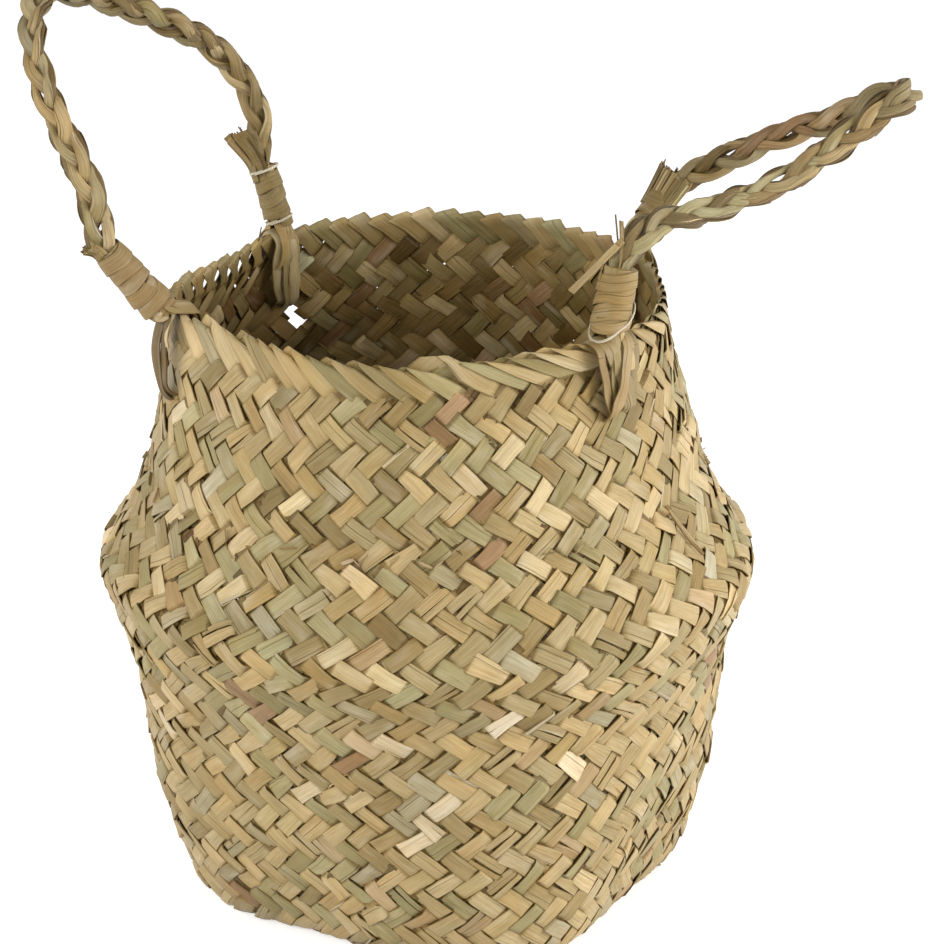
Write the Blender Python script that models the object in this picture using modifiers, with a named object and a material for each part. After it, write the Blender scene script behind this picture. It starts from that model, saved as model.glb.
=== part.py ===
# Soft plaited belly basket with a folding belly and two plaited rope handles.
# Origin at the centre of the underside, +Z up, -Y towards the viewer, +X to the right.

import bpy
import bmesh
import math
from mathutils import Matrix, Vector

# Size of the body
BELLY_RADIUS = 0.110
HEIGHT = 0.2108
WALL = 0.0024
BASE_THICKNESS = 0.0026
JOINT_GAP = 0.0003

# Outline of the body, from the edge of the underside to the rim
OUTLINE_RADIUS_SHARES = (
    0.655, 0.69, 0.72, 0.74, 0.79, 0.84, 0.87, 0.90, 0.935, 0.975,
    1.005, 0.997, 0.938, 0.886, 0.84, 0.815, 0.78, 0.76,
)
OUTLINE_HEIGHT_SHARES = (
    0.0, 0.0, 0.01, 0.04, 0.11, 0.205, 0.30, 0.39, 0.455, 0.505,
    0.555, 0.58, 0.615, 0.665, 0.725, 0.795, 0.885, 1.0,
)
BELLY_HEIGHT_SHARE = 0.30
CREASE_HEIGHT_SHARE = 0.555
COLLAR_HEIGHT_SHARE = 0.759
RIM_HEIGHT = 0.0112
LEAN_SHARE = -0.028

# The underside is a rounded square that turns round towards the belly
SQUARE_SHARE = 0.086
SQUARE_TURN_SHARE = 59.5 / 360.0
SQUARE_FADE_SHARE = 1.2

# Flats that the handles have pulled into the rim: direction, depth and width
DENT_TURN_SHARES = (150.0 / 360.0, 224.0 / 360.0, 112.0 / 360.0, 292.0 / 360.0, 0.0)
DENT_DEPTHS = (0.0115, 0.0085, 0.0045, 0.0035, 0.0032)
DENT_WIDTH_SHARES = (16.0 / 360.0, 13.0 / 360.0, 14.0 / 360.0, 12.0 / 360.0, 15.0 / 360.0)

# Rolled rim
RIM_THICKNESS = 0.0062
RIM_FOLDS = 32
RIM_FOLD_DEPTH = 0.00045
RIM_FOLD_SLANT_SHARE = 0.35
# Places of the rim's section: outward, of the half thickness, and up, of the height
RIM_SECTION_SHARES = (
    (0.62, 0.0), (1.0, 0.10), (1.0, 0.72), (0.62, 0.95),
    (-0.62, 0.95), (-1.0, 0.72), (-1.0, 0.10), (-0.62, 0.0),
)

# Strap loops that hold the handles
STRAP_WIDTH = 0.0078
STRAP_THICKNESS = 0.0016
STRAP_CLEARANCE = 0.0006
STRAP_DROP = 0.0270
STRAP_ARC_STEPS = 8

# Handles: where each leg meets the rim, how far outward it sits, binding radius and length
ENDS = ("left_front", "left_back", "right_front", "right_back")
END_TURN_SHARES = (199.0 / 360.0, 129.5 / 360.0, 317.0 / 360.0, 26.5 / 360.0)
END_SEAT_TURN_SHARES = (52.0 / 360.0, 12.0 / 360.0, 12.0 / 360.0, 22.0 / 360.0)
BINDING_RADII = (0.0060, 0.0045, 0.0060, 0.0048)
BINDING_LENGTHS = (0.0235, 0.0170, 0.0160, 0.0155)
BINDING_WALL = 0.0011
ROPE_RADIUS = 0.0054
LEFT_PITCH = 0.039
RIGHT_PITCH = 0.042
ROPE_STEP = 0.0033
ROPE_TAPER = 0.0070

# The three strands of a rope's plait, as shares of its radius: how far each one's middle
# sways to both sides and weaves over and under, and half its own width and depth
STRAND_SWAY_SHARE = 0.60
STRAND_WEAVE_SHARE = 0.26
STRAND_WIDTH_SHARE = 0.40
STRAND_DEPTH_SHARE = 0.30
STRANDS = 3
# Where the flat side of the plait looks at both ends of a rope
FACE_SHARES = (0.0, -0.93, 0.36)

# Route of each rope between its bindings, as shares of half the span between
# the legs, of the reach outward and of the rise above the hinge line
LEFT_REACH = 0.050
LEFT_RISE = 0.092
LEFT_ROUTE_SHARES = (
    (-1.16, 0.30, 0.21), (-1.17, 0.32, 0.34), (-1.17, 0.43, 0.50), (-1.11, 0.65, 0.70),
    (-0.92, 0.83, 0.88), (-0.66, 0.91, 0.97), (-0.40, 0.88, 0.98), (0.03, 0.72, 0.90),
    (0.55, 0.46, 0.75), (0.89, 0.27, 0.59), (1.05, 0.14, 0.39), (1.03, 0.10, 0.17),
)
RIGHT_REACH = 0.092
RIGHT_RISE = 0.056
RIGHT_ROUTE_SHARES = (
    (-0.95, 0.03, 0.31), (-0.90, 0.08, 0.43), (-0.82, 0.11, 0.47), (-0.69, 0.17, 0.50),
    (-0.42, 0.33, 0.52), (-0.18, 0.49, 0.58), (0.01, 0.65, 0.71), (0.22, 0.77, 0.83),
    (0.33, 0.89, 0.96), (0.38, 0.94, 1.00), (0.50, 0.96, 1.01), (0.60, 0.93, 0.99),
    (0.62, 0.88, 0.95), (0.67, 0.73, 0.82), (0.80, 0.56, 0.69), (0.88, 0.36, 0.53),
    (1.02, 0.19, 0.35), (1.07, 0.09, 0.25),
)

# Cut ends left above the bindings: direction, length and fan width
TUFT_TURN_SHARES = (196.0 / 360.0, 188.0 / 360.0, 170.0 / 360.0, 15.0 / 360.0)
TUFT_TILT_SHARES = (16.0 / 360.0, 42.0 / 360.0, 66.0 / 360.0, 64.0 / 360.0)
TUFT_LENGTHS = (0.0060, 0.0125, 0.0085, 0.0120)
TUFT_WIDTHS = (0.0070, 0.0085, 0.0042, 0.0095)
TUFT_THICKNESS = 0.0028
TUFT_ROOT_SHARE = 0.55
TUFT_NOTCH_SHARE = 0.22
# Along the fan: how far up, and how much of its full width and thickness it has there
TUFT_SECTION_SHARES = (
    (0.0, TUFT_ROOT_SHARE, TUFT_ROOT_SHARE), (0.45, 0.75, 0.8), (1.0, 1.0, 1.0),
)

# Tie threads around the bindings: which leg and how far up its length
TIES = ("left_back_upper_tie", "left_back_lower_tie", "right_front_tie")
TIE_ENDS = ("left_back", "left_back", "right_front")
TIE_HEIGHT_SHARES = (0.94, 0.25, 0.20)
TIE_RADIUS = 0.0005

# Number of straight steps in the round shapes
WALL_STEPS = 48
RIM_STEPS = 128
BINDING_STEPS = 16
BALL_STEPS = 4
TIE_STEPS = 18
TIE_SIDES = 6
ROPE_SIDES = 12
ROUTE_STEPS = 8
TUFT_SIDES = 12
MERGE_DISTANCE = 0.00001
SMOOTH_TURN_SHARE = 40.0 / 360.0

# Lengths that follow from the ones above
BELLY_BOTTOM = BELLY_HEIGHT_SHARE * HEIGHT
COLLAR_BOTTOM = COLLAR_HEIGHT_SHARE * HEIGHT
CREASE = CREASE_HEIGHT_SHARE * HEIGHT
RIM_BOTTOM = HEIGHT - RIM_HEIGHT
RIM_RADIUS = RIM_THICKNESS / 2
STRAP_INNER = RIM_RADIUS + STRAP_CLEARANCE
STRAP_OUTER = STRAP_INNER + STRAP_THICKNESS
UP = Vector((0, 0, 1))


def clear_scene():
    """Empties the scene, so that only this object is in it."""
    for item in list(bpy.data.objects):
        bpy.data.objects.remove(item, do_unlink=True)


def new_collection(name, hidden):
    """A collection for the pieces, or a hidden one for the shapes that cut them."""
    group = bpy.data.collections.new(name)
    bpy.context.scene.collection.children.link(group)
    group.hide_render = hidden
    return group


def new_material(name, colour, roughness):
    """One plain surface for each piece."""
    surface = bpy.data.materials.new(name)
    surface.use_nodes = True
    shader = surface.node_tree.nodes["Principled BSDF"]
    shader.inputs["Base Color"].default_value = (*colour, 1.0)
    shader.inputs["Roughness"].default_value = roughness
    return surface


def add_piece(name, data, colour, roughness=0.75):
    """Adds one named piece with a material of its own."""
    piece = bpy.data.objects.new(name, data)
    PIECES.objects.link(piece)
    piece.data.materials.clear()
    piece.data.materials.append(new_material(name + "_surface", colour, roughness))
    return piece


def add_cutter(name, data):
    """Adds one hidden shape that cuts a piece."""
    cutter = bpy.data.objects.new(name, data)
    CUTTERS.objects.link(cutter)
    cutter.hide_render = True
    cutter.display_type = "WIRE"
    return cutter


def between(value, places, values):
    """The value on a line of straight parts."""
    if value <= places[0]:
        return values[0]
    for low, high, first, last in zip(places, places[1:], values, values[1:]):
        if low < value <= high:
            return first + (value - low) / (high - low) * (last - first)
    return values[-1]


def outline_radius(height):
    """Mean outer radius of the body at one height above the underside edge."""
    heights = [share * HEIGHT for share in OUTLINE_HEIGHT_SHARES[1:]]
    radii = [share * BELLY_RADIUS for share in OUTLINE_RADIUS_SHARES[1:]]
    return between(height, heights, radii)


def square_factor(turn, height):
    """How the rounded square of the underside shows at one height."""
    if height >= CREASE:
        return 1.0
    fade = (1.0 - height / CREASE) ** SQUARE_FADE_SHARE
    return 1.0 - SQUARE_SHARE * fade * math.cos(4 * (turn - SQUARE_TURN_SHARE * math.tau))


def dent_depth(turn, height):
    """How far the rim is pulled in at one place."""
    ramp = (height - COLLAR_BOTTOM) / (HEIGHT - COLLAR_BOTTOM)
    if ramp <= 0:
        return 0
    depth = 0
    for centre, most, width in zip(DENT_TURN_SHARES, DENT_DEPTHS, DENT_WIDTH_SHARES):
        away = (turn / math.tau - centre + 0.5) % 1.0 - 0.5
        depth += most * math.exp(-0.5 * (away / width) ** 2)
    return min(ramp, 1.0) * depth


def body_point(turn, radius, height):
    """A point of the leaning, partly square body."""
    reach = radius * square_factor(turn, height) - dent_depth(turn, height)
    shift = LEAN_SHARE * height
    return Vector((reach * math.cos(turn) + shift, reach * math.sin(turn), height))


def middle_point(turn, height):
    """A point half way through the wall."""
    return body_point(turn, outline_radius(height) - WALL / 2, height)


def rim_frame(turn):
    """The centre of the rim's rounded top, with the directions outward, up the wall and along it."""
    top = HEIGHT - RIM_RADIUS
    centre = middle_point(turn, top)
    up = (centre - middle_point(turn, top - STRAP_DROP / 2)).normalized()
    step = math.tau / RIM_STEPS
    along = (middle_point(turn + step, top) - middle_point(turn - step, top)).normalized()
    outward = along.cross(up).normalized()
    along = up.cross(outward)
    return centre, outward, up, along


def ring_mesh(name, sections):
    """A closed skin through sections that stand in a ring."""
    count = len(sections[0])
    vertices = [point for section in sections for point in section]
    faces = []
    for index in range(len(sections)):
        after = (index + 1) % len(sections)
        for side in range(count):
            beside = (side + 1) % count
            faces.append((
                index * count + side, index * count + beside,
                after * count + beside, after * count + side,
            ))
    return closed_mesh(name, vertices, faces)


def stack_mesh(name, sections):
    """A closed skin through sections that follow each other, with both ends filled."""
    count = len(sections[0])
    vertices = [point for section in sections for point in section]
    faces = []
    for index in range(len(sections) - 1):
        for side in range(count):
            beside = (side + 1) % count
            faces.append((
                index * count + side, index * count + beside,
                (index + 1) * count + beside, (index + 1) * count + side,
            ))
    for section, start in ((sections[0], 0), (sections[-1], (len(sections) - 1) * count)):
        vertices.append(sum(section, Vector()) / count)
        for side in range(count):
            beside = (side + 1) % count
            faces.append((start + side, start + beside, len(vertices) - 1))
    return closed_mesh(name, vertices, faces)


def closed_mesh(name, vertices, faces):
    """A mesh with all of its faces turned outward."""
    mesh = bpy.data.meshes.new(name)
    mesh.from_pydata(vertices, [], faces)
    shape = bmesh.new()
    shape.from_mesh(mesh)
    bmesh.ops.recalc_face_normals(shape, faces=shape.faces)
    if shape.calc_volume(signed=True) < 0:
        bmesh.ops.reverse_faces(shape, faces=shape.faces)
    shape.to_mesh(mesh)
    shape.free()
    mesh.shade_smooth()
    mesh.set_sharp_from_angle(angle=SMOOTH_TURN_SHARE * math.tau)
    return mesh


def wall_rows(heights):
    """Outer and inner radius of the wall at each height, with level ends."""
    rows = []
    for place, height in enumerate(heights):
        low = heights[max(place - 1, 0)]
        high = heights[min(place + 1, len(heights) - 1)]
        lean = (outline_radius(high) - outline_radius(low)) / (high - low)
        rows.append((outline_radius(height), WALL * math.hypot(1.0, lean), height))
    return rows


def wall_mesh(name, heights):
    """One band of the wall, lofted from the rounded square to the round mouth."""
    sections = []
    for step in range(WALL_STEPS):
        turn = math.tau * step / WALL_STEPS
        outside = [body_point(turn, radius, height) for radius, _, height in wall_rows(heights)]
        inside = [
            body_point(turn, radius - thick, height)
            for radius, thick, height in wall_rows(heights)
        ]
        sections.append(outside + inside[::-1])
    return ring_mesh(name, sections)


def outline_heights(low, high):
    """The outline's own heights between two levels, and the levels themselves."""
    inner = [share * HEIGHT for share in OUTLINE_HEIGHT_SHARES[1:]]
    return [low] + [height for height in inner if low + WALL < height < high - WALL] + [high]


def make_base():
    """The flat underside, a plate with the outline of a rounded square."""
    edge = OUTLINE_RADIUS_SHARES[0] * BELLY_RADIUS - JOINT_GAP
    plate = bpy.data.curves.new("base_panel", "CURVE")
    plate.dimensions = "2D"
    plate.fill_mode = "BOTH"
    plate.extrude = BASE_THICKNESS / 2
    outline = plate.splines.new("POLY")
    outline.points.add(WALL_STEPS - 1)
    for step in range(WALL_STEPS):
        spot = body_point(math.tau * step / WALL_STEPS, edge, 0)
        outline.points[step].co = (spot.x, spot.y, 0, 1)
    outline.use_cyclic_u = True
    add_piece("base_panel", plate, (0.34, 0.28, 0.17)).location = (0, 0, BASE_THICKNESS / 2)


def make_lower_wall():
    """The lower wall from its level foot, round the base edge and up to the belly."""
    foot = OUTLINE_RADIUS_SHARES[0] * BELLY_RADIUS
    edge = OUTLINE_RADIUS_SHARES[1] * BELLY_RADIUS
    first = OUTLINE_HEIGHT_SHARES[2] * HEIGHT
    rows = wall_rows(outline_heights(first, BELLY_BOTTOM - JOINT_GAP / 2))
    sections = []
    for step in range(WALL_STEPS):
        turn = math.tau * step / WALL_STEPS
        outside = [body_point(turn, foot, 0), body_point(turn, edge, 0)]
        outside += [body_point(turn, radius, height) for radius, _, height in rows]
        inside = [
            body_point(turn, radius - thick, height) for radius, thick, height in rows[2:]
        ]
        inside.insert(0, body_point(turn, edge, BASE_THICKNESS + WALL / 2))
        inside.insert(0, body_point(turn, foot, BASE_THICKNESS))
        sections.append(outside + inside[::-1])
    add_piece("lower_wall", ring_mesh("lower_wall", sections), (0.46, 0.38, 0.22))


def make_belly():
    """The widest part of the wall, up to the crease."""
    heights = outline_heights(BELLY_BOTTOM + JOINT_GAP / 2, CREASE - JOINT_GAP / 2)
    add_piece("belly_wall", wall_mesh("belly_wall", heights), (0.46, 0.38, 0.22))


def make_shoulder():
    """The soft band above the crease, which turns over when the belly folds."""
    heights = outline_heights(CREASE + JOINT_GAP / 2, COLLAR_BOTTOM - JOINT_GAP / 2)
    add_piece("shoulder_band", wall_mesh("shoulder_band", heights), (0.48, 0.40, 0.24))


def make_collar():
    """The upper wall, with a slot for each strap loop."""
    heights = outline_heights(COLLAR_BOTTOM + JOINT_GAP / 2, RIM_BOTTOM - JOINT_GAP)
    collar = add_piece("upper_wall", wall_mesh("upper_wall", heights), (0.47, 0.39, 0.23))
    for end, share in zip(ENDS, END_TURN_SHARES):
        centre, outward, up, along = rim_frame(share * math.tau)
        reach = STRAP_OUTER * 4
        tall = STRAP_THICKNESS + JOINT_GAP * 4
        wide = STRAP_WIDTH + JOINT_GAP * 2
        middle = centre - up * (STRAP_DROP - STRAP_THICKNESS / 2 - RIM_RADIUS)
        slot = bmesh.new()
        bmesh.ops.create_cube(slot, size=1.0)
        bmesh.ops.scale(slot, vec=(reach, tall, wide), verts=slot.verts)
        mesh = bpy.data.meshes.new(end + "_slot")
        slot.to_mesh(mesh)
        slot.free()
        cutter = add_cutter(end + "_slot", mesh)
        cutter.matrix_world = frame_matrix(middle, outward, up, along)
        cut = collar.modifiers.new(end + "_slot", "BOOLEAN")
        cut.operation = "DIFFERENCE"
        cut.solver = "EXACT"
        cut.object = cutter


def frame_matrix(origin, first, second, third):
    """A matrix with the three directions as its X, Y and Z."""
    turned = Matrix((first, second, third)).transposed().to_4x4()
    return Matrix.Translation(origin) @ turned


def make_rim():
    """The rolled rim, with slanting folds all round."""
    sections = []
    for step in range(RIM_STEPS):
        turn = math.tau * step / RIM_STEPS
        _, outward, _, _ = rim_frame(turn)
        section = []
        for across, rise in RIM_SECTION_SHARES:
            height = RIM_BOTTOM + rise * RIM_HEIGHT
            slant = math.copysign(rise, across) * RIM_FOLD_SLANT_SHARE
            wave = 0.5 - 0.5 * math.cos(RIM_FOLDS * turn + slant * math.tau)
            half = RIM_RADIUS - RIM_FOLD_DEPTH * wave
            point = middle_point(turn, height) + outward * (across * half)
            if 0 < rise < 1:
                point.z = height
            section.append(point)
        sections.append(section)
    add_piece("rim_edge", ring_mesh("rim_edge", sections), (0.50, 0.42, 0.26))


def make_strap(end, turn):
    """A flat loop of leaf over the rim, down both sides and through its slot."""
    centre, outward, up, along = rim_frame(turn)
    straight = STRAP_DROP - RIM_RADIUS - STRAP_OUTER
    loop = bpy.data.curves.new(end + "_strap", "CURVE")
    loop.dimensions = "2D"
    loop.fill_mode = "BOTH"
    loop.extrude = STRAP_WIDTH / 2
    for radius in (STRAP_OUTER, STRAP_INNER):
        places = []
        for step in range(STRAP_ARC_STEPS + 1):
            angle = math.pi * step / STRAP_ARC_STEPS
            places.append((radius * math.cos(angle), radius * math.sin(angle)))
        for step in range(STRAP_ARC_STEPS + 1):
            angle = math.pi * (1.0 + step / STRAP_ARC_STEPS)
            places.append((radius * math.cos(angle), radius * math.sin(angle) - straight))
        spline = loop.splines.new("POLY")
        spline.points.add(len(places) - 1)
        for point, (across, rise) in zip(spline.points, places):
            point.co = (across, rise, 0, 1)
        spline.use_cyclic_u = True
    strap = add_piece(end + "_strap", loop, (0.22, 0.18, 0.10), 0.45)
    strap.matrix_world = frame_matrix(centre, outward, up, along)


def hinge_point(turn, seat_turn, radius):
    """The centre of a leg's rounded foot, which rolls on top of its strap."""
    centre, outward, up, _ = rim_frame(turn)
    away = STRAP_OUTER + JOINT_GAP + radius
    return centre + outward * (away * math.sin(seat_turn)) + up * (away * math.cos(seat_turn))


def handle_ends(side):
    """The two hinge points of one handle, front first."""
    first = ENDS.index(side + "_front")
    return [
        hinge_point(
            END_TURN_SHARES[place] * math.tau,
            END_SEAT_TURN_SHARES[place] * math.tau,
            BINDING_RADII[place],
        )
        for place in (first, first + 1)
    ]


def route_points(side, reach, rise, shares):
    """The named places along one rope, in the frame of its two hinge points."""
    front, back = handle_ends(side)
    span = back - front
    span.z = 0
    half = span.length / 2
    along = span.normalized()
    outward = along.cross(UP)
    middle = (front + back) / 2
    if outward.dot(middle) < 0:
        outward = -outward
    return [
        middle + along * (first * half) + outward * (second * reach) + UP * (third * rise)
        for first, second, third in shares
    ]


def smooth_route(points, step):
    """A smooth line through the points, in steps of nearly equal length."""
    fine = []
    padded = [points[0] * 2 - points[1]] + points + [points[-1] * 2 - points[-2]]
    for before, start, finish, after in zip(padded, padded[1:], padded[2:], padded[3:]):
        for index in range(ROUTE_STEPS):
            part = index / ROUTE_STEPS
            fine.append(
                start * (1.0 - part) ** 2 * (1.0 + 2.0 * part)
                + finish * part ** 2 * (3.0 - 2.0 * part)
                + (finish - before) * (0.5 * part * (1.0 - part) ** 2)
                - (after - start) * (0.5 * part ** 2 * (1.0 - part))
            )
    fine.append(points[-1].copy())
    lengths = [0.0]
    for first, second in zip(fine, fine[1:]):
        lengths.append(lengths[-1] + (second - first).length)
    count = max(int(round(lengths[-1] / step)), 4)
    result = []
    place = 0
    for index in range(count + 1):
        wanted = lengths[-1] * index / count
        while place < len(fine) - 2 and lengths[place + 1] < wanted:
            place += 1
        part = (wanted - lengths[place]) / (lengths[place + 1] - lengths[place])
        result.append(fine[place].lerp(fine[place + 1], min(max(part, 0.0), 1.0)))
    return result


def leg_direction(side, place):
    """The direction in which one leg leaves its hinge point."""
    reach, rise, shares = ROUTES[side]
    points = route_points(side, reach, rise, shares)
    hinge = handle_ends(side)[place]
    return ((points[0], points[-1])[place] - hinge).normalized()


def bore_depth(radius):
    """Where the bore of a binding ends, counted from the hinge point."""
    return radius / 3


def plait_frames(route):
    """Two directions square to the route at each of its points, along and across the flat side."""
    face = Vector(FACE_SHARES)
    ahead = []
    for index in range(len(route)):
        before, after = route[max(index - 1, 0)], route[min(index + 1, len(route) - 1)]
        ahead.append((after - before).normalized())
    wide = [face.cross(ahead[0]).normalized()]
    for direction in ahead[1:]:
        wide.append((wide[-1] - direction * wide[-1].dot(direction)).normalized())
    last = face.cross(ahead[-1]).normalized()
    if last.dot(wide[-1]) < 0:
        last = -last
    twist = math.atan2(wide[-1].cross(last).dot(ahead[-1]), wide[-1].dot(last))
    frames = []
    for index, (direction, flat) in enumerate(zip(ahead, wide)):
        turned = Matrix.Rotation(twist * index / (len(route) - 1), 3, direction) @ flat
        frames.append((turned, direction.cross(turned)))
    return frames


def strand_reach(angle, across, deep):
    """How far from the rope's middle one strand's outline is in one direction, or zero."""
    half_width, half_depth = STRAND_WIDTH_SHARE, STRAND_DEPTH_SHARE
    first = (math.cos(angle) / half_width, math.sin(angle) / half_depth)
    second = (across / half_width, deep / half_depth)
    square = first[0] ** 2 + first[1] ** 2
    mixed = first[0] * second[0] + first[1] * second[1]
    inside = mixed ** 2 - square * (second[0] ** 2 + second[1] ** 2 - 1.0)
    if inside <= 0:
        return 0
    return max((mixed + math.sqrt(inside)) / square, 0)


def plait_section(phase):
    """The outline round the strands at one phase of the plait, as shares of the rope's radius."""
    places = []
    for strand in range(STRANDS):
        turn = phase + math.tau * strand / STRANDS
        places.append((
            STRAND_SWAY_SHARE * math.sin(turn), STRAND_WEAVE_SHARE * math.sin(2 * turn)))
    outline = []
    for side_index in range(ROPE_SIDES):
        angle = math.tau * side_index / ROPE_SIDES
        reach = max(strand_reach(angle, across, deep) for across, deep in places)
        reach = max(reach, STRAND_DEPTH_SHARE)
        outline.append((reach * math.cos(angle), reach * math.sin(angle)))
    return outline


def make_rope(side):
    """One handle rope: the skin round the three strands of its plait, along its route."""
    reach, rise, shares = ROUTES[side]
    front, back = handle_ends(side)
    points = route_points(side, reach, rise, shares)
    first = ENDS.index(side + "_front")
    ends = []
    for place, hinge in enumerate((front, back)):
        radius = BINDING_RADII[first + place]
        length = BINDING_LENGTHS[first + place]
        away = leg_direction(side, place)
        start = bore_depth(radius) + JOINT_GAP
        ends.append([
            hinge + away * start,
            hinge + away * ((start + length) / 2),
            hinge + away * length,
            hinge + away * (length + ROPE_RADIUS / 3),
        ])
    route = ends[0] + smooth_route([ends[0][-1]] + points[1:-1] + [ends[1][-1]], ROPE_STEP)[1:-1]
    route += ends[1][::-1]
    travelled = [0.0]
    for before, after in zip(route, route[1:]):
        travelled.append(travelled[-1] + (after - before).length)
    sections = []
    for spot, run, (wide, thick) in zip(route, travelled, plait_frames(route)):
        sizes = []
        for place, from_end in ((0, run), (1, travelled[-1] - run)):
            radius = BINDING_RADII[first + place]
            bound = BINDING_LENGTHS[first + place] + ROPE_RADIUS / 3 - bore_depth(radius)
            small = radius - BINDING_WALL - JOINT_GAP * 1.5
            part = min(max((from_end - bound) / ROPE_TAPER, 0.0), 1.0)
            sizes.append(small + (ROPE_RADIUS - small) * part)
        size = min(sizes)
        sections.append([
            spot + wide * (across * size) + thick * (deep * size)
            for across, deep in plait_section(math.tau * run / PITCHES[side])])
    name = side + "_handle_rope"
    add_piece(name, stack_mesh(name, sections), (0.44, 0.37, 0.22))


def align(direction):
    """A turn that takes +Z to the direction."""
    return direction.to_track_quat("Z", "Y").to_matrix().to_4x4()


def make_binding(side, place):
    """A sleeve of wound leaf with a closed, rounded foot, turned around its own axis."""
    first = ENDS.index(side + "_front")
    end = ENDS[first + place]
    radius = BINDING_RADII[first + place]
    length = BINDING_LENGTHS[first + place]
    bore = radius - BINDING_WALL
    profile = []
    for step in range(BALL_STEPS + 1):
        angle = math.pi / 2 * step / BALL_STEPS
        profile.append((radius * math.sin(angle), -radius * math.cos(angle)))
    profile += [
        (radius, length - BINDING_WALL / 2),
        (radius - BINDING_WALL / 2, length),
        (bore, length),
        (bore, bore_depth(radius)),
        (0, bore_depth(radius)),
    ]
    mesh = bpy.data.meshes.new(end + "_binding")
    edges = [(index, index + 1) for index in range(len(profile) - 1)]
    mesh.from_pydata([(across, 0, rise) for across, rise in profile[::-1]], edges, [])
    binding = add_piece(end + "_binding", mesh, (0.50, 0.43, 0.27))
    spin = binding.modifiers.new("turned", "SCREW")
    spin.steps = BINDING_STEPS
    spin.render_steps = BINDING_STEPS
    spin.use_merge_vertices = True
    spin.merge_threshold = MERGE_DISTANCE
    away = leg_direction(side, place)
    binding.matrix_world = Matrix.Translation(handle_ends(side)[place]) @ align(away)


def make_tuft(side, place):
    """The cut ends that stand out above a binding, a small notched fan."""
    first = ENDS.index(side + "_front") + place
    hinge = handle_ends(side)[place]
    away = leg_direction(side, place)
    turn = TUFT_TURN_SHARES[first] * math.tau
    tilt = TUFT_TILT_SHARES[first] * math.tau
    grow = Vector((
        math.cos(turn) * math.cos(tilt), math.sin(turn) * math.cos(tilt), math.sin(tilt),
    ))
    beside = (grow - away * grow.dot(away)).normalized()
    across = away.cross(beside)
    root = TUFT_THICKNESS * TUFT_ROOT_SHARE
    start = hinge + away * (BINDING_LENGTHS[first] + JOINT_GAP)
    start += beside * (BINDING_RADII[first] - BINDING_WALL / 2 + root / 2)
    width = TUFT_WIDTHS[first] / 2
    length = TUFT_LENGTHS[first]
    sections = []
    for run, wide, thick in TUFT_SECTION_SHARES:
        lean = away.lerp(grow, run).normalized()
        middle = start + lean * (length * run)
        depth = (beside - lean * beside.dot(lean)).normalized()
        section = []
        for index in range(TUFT_SIDES):
            angle = math.tau * index / TUFT_SIDES
            notch = TUFT_NOTCH_SHARE * length * (index % 2) * (run == 1.0)
            section.append(
                middle
                + across * (width * wide * math.cos(angle))
                + depth * (TUFT_THICKNESS / 2 * thick * math.sin(angle))
                - lean * notch
            )
        sections.append(section)
    name = ENDS[first] + "_cut_ends"
    add_piece(name, stack_mesh(name, sections), (0.40, 0.31, 0.20))


def make_tie(name, end, height_share):
    """A thin thread tied around a binding."""
    first = ENDS.index(end)
    side, word = end.split("_")
    place = ("front", "back").index(word)
    away = leg_direction(side, place)
    radius = BINDING_RADII[first] + JOINT_GAP + TIE_RADIUS
    bpy.ops.mesh.primitive_torus_add(
        major_radius=radius,
        minor_radius=TIE_RADIUS,
        major_segments=TIE_STEPS,
        minor_segments=TIE_SIDES,
    )
    ring = bpy.context.object
    centre = handle_ends(side)[place] + away * (BINDING_LENGTHS[first] * height_share)
    ring.name = name
    ring.data.name = name
    for group in list(ring.users_collection):
        group.objects.unlink(ring)
    PIECES.objects.link(ring)
    ring.matrix_world = Matrix.Translation(centre) @ align(away)
    ring.data.materials.append(new_material(name + "_surface", (0.72, 0.68, 0.56), 0.6))


def add_pivot(name, origin, direction, names):
    """An empty on a joint's axis, with +Z along it, that carries the moving pieces."""
    pivot = bpy.data.objects.new(name, None)
    PIECES.objects.link(pivot)
    pivot.empty_display_size = RIM_HEIGHT
    pivot.matrix_world = Matrix.Translation(origin) @ align(direction)
    for piece_name in names:
        piece = bpy.data.objects[piece_name]
        piece.parent = pivot
        piece.matrix_parent_inverse = pivot.matrix_world.inverted()


clear_scene()
PIECES = new_collection("belly_basket", False)
CUTTERS = new_collection("belly_basket_cutters", True)
ROUTES = {
    "left": (LEFT_REACH, LEFT_RISE, LEFT_ROUTE_SHARES),
    "right": (RIGHT_REACH, RIGHT_RISE, RIGHT_ROUTE_SHARES),
}
PITCHES = {"left": LEFT_PITCH, "right": RIGHT_PITCH}

make_base()
make_lower_wall()
make_belly()
make_shoulder()
make_collar()
make_rim()
for end_name, end_share in zip(ENDS, END_TURN_SHARES):
    make_strap(end_name, end_share * math.tau)
for side_name in ("left", "right"):
    make_rope(side_name)
    for end_place in (0, 1):
        make_binding(side_name, end_place)
        make_tuft(side_name, end_place)
for tie_name, tie_end, tie_share in zip(TIES, TIE_ENDS, TIE_HEIGHT_SHARES):
    make_tie(tie_name, tie_end, tie_share)

# The folding collar slides down inside the belly, and each handle turns about its two feet
for side_name in ("left", "right"):
    front_hinge, back_hinge = handle_ends(side_name)
    handle_names = [side_name + "_handle_rope"]
    for word in ("_front", "_back"):
        handle_names += [side_name + word + kind for kind in ("_binding", "_cut_ends")]
    handle_names += [name for name, end in zip(TIES, TIE_ENDS) if end.startswith(side_name)]
    hinge_line = back_hinge - front_hinge
    add_pivot(side_name + "_hinge", (front_hinge + back_hinge) / 2, hinge_line, handle_names)
collar_names = ["upper_wall", "rim_edge"] + [name + "_strap" for name in ENDS]
add_pivot("collar_slide", Vector((0, 0, CREASE)), -UP, collar_names)
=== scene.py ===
import math
import random
from functools import partial
from itertools import product

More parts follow.
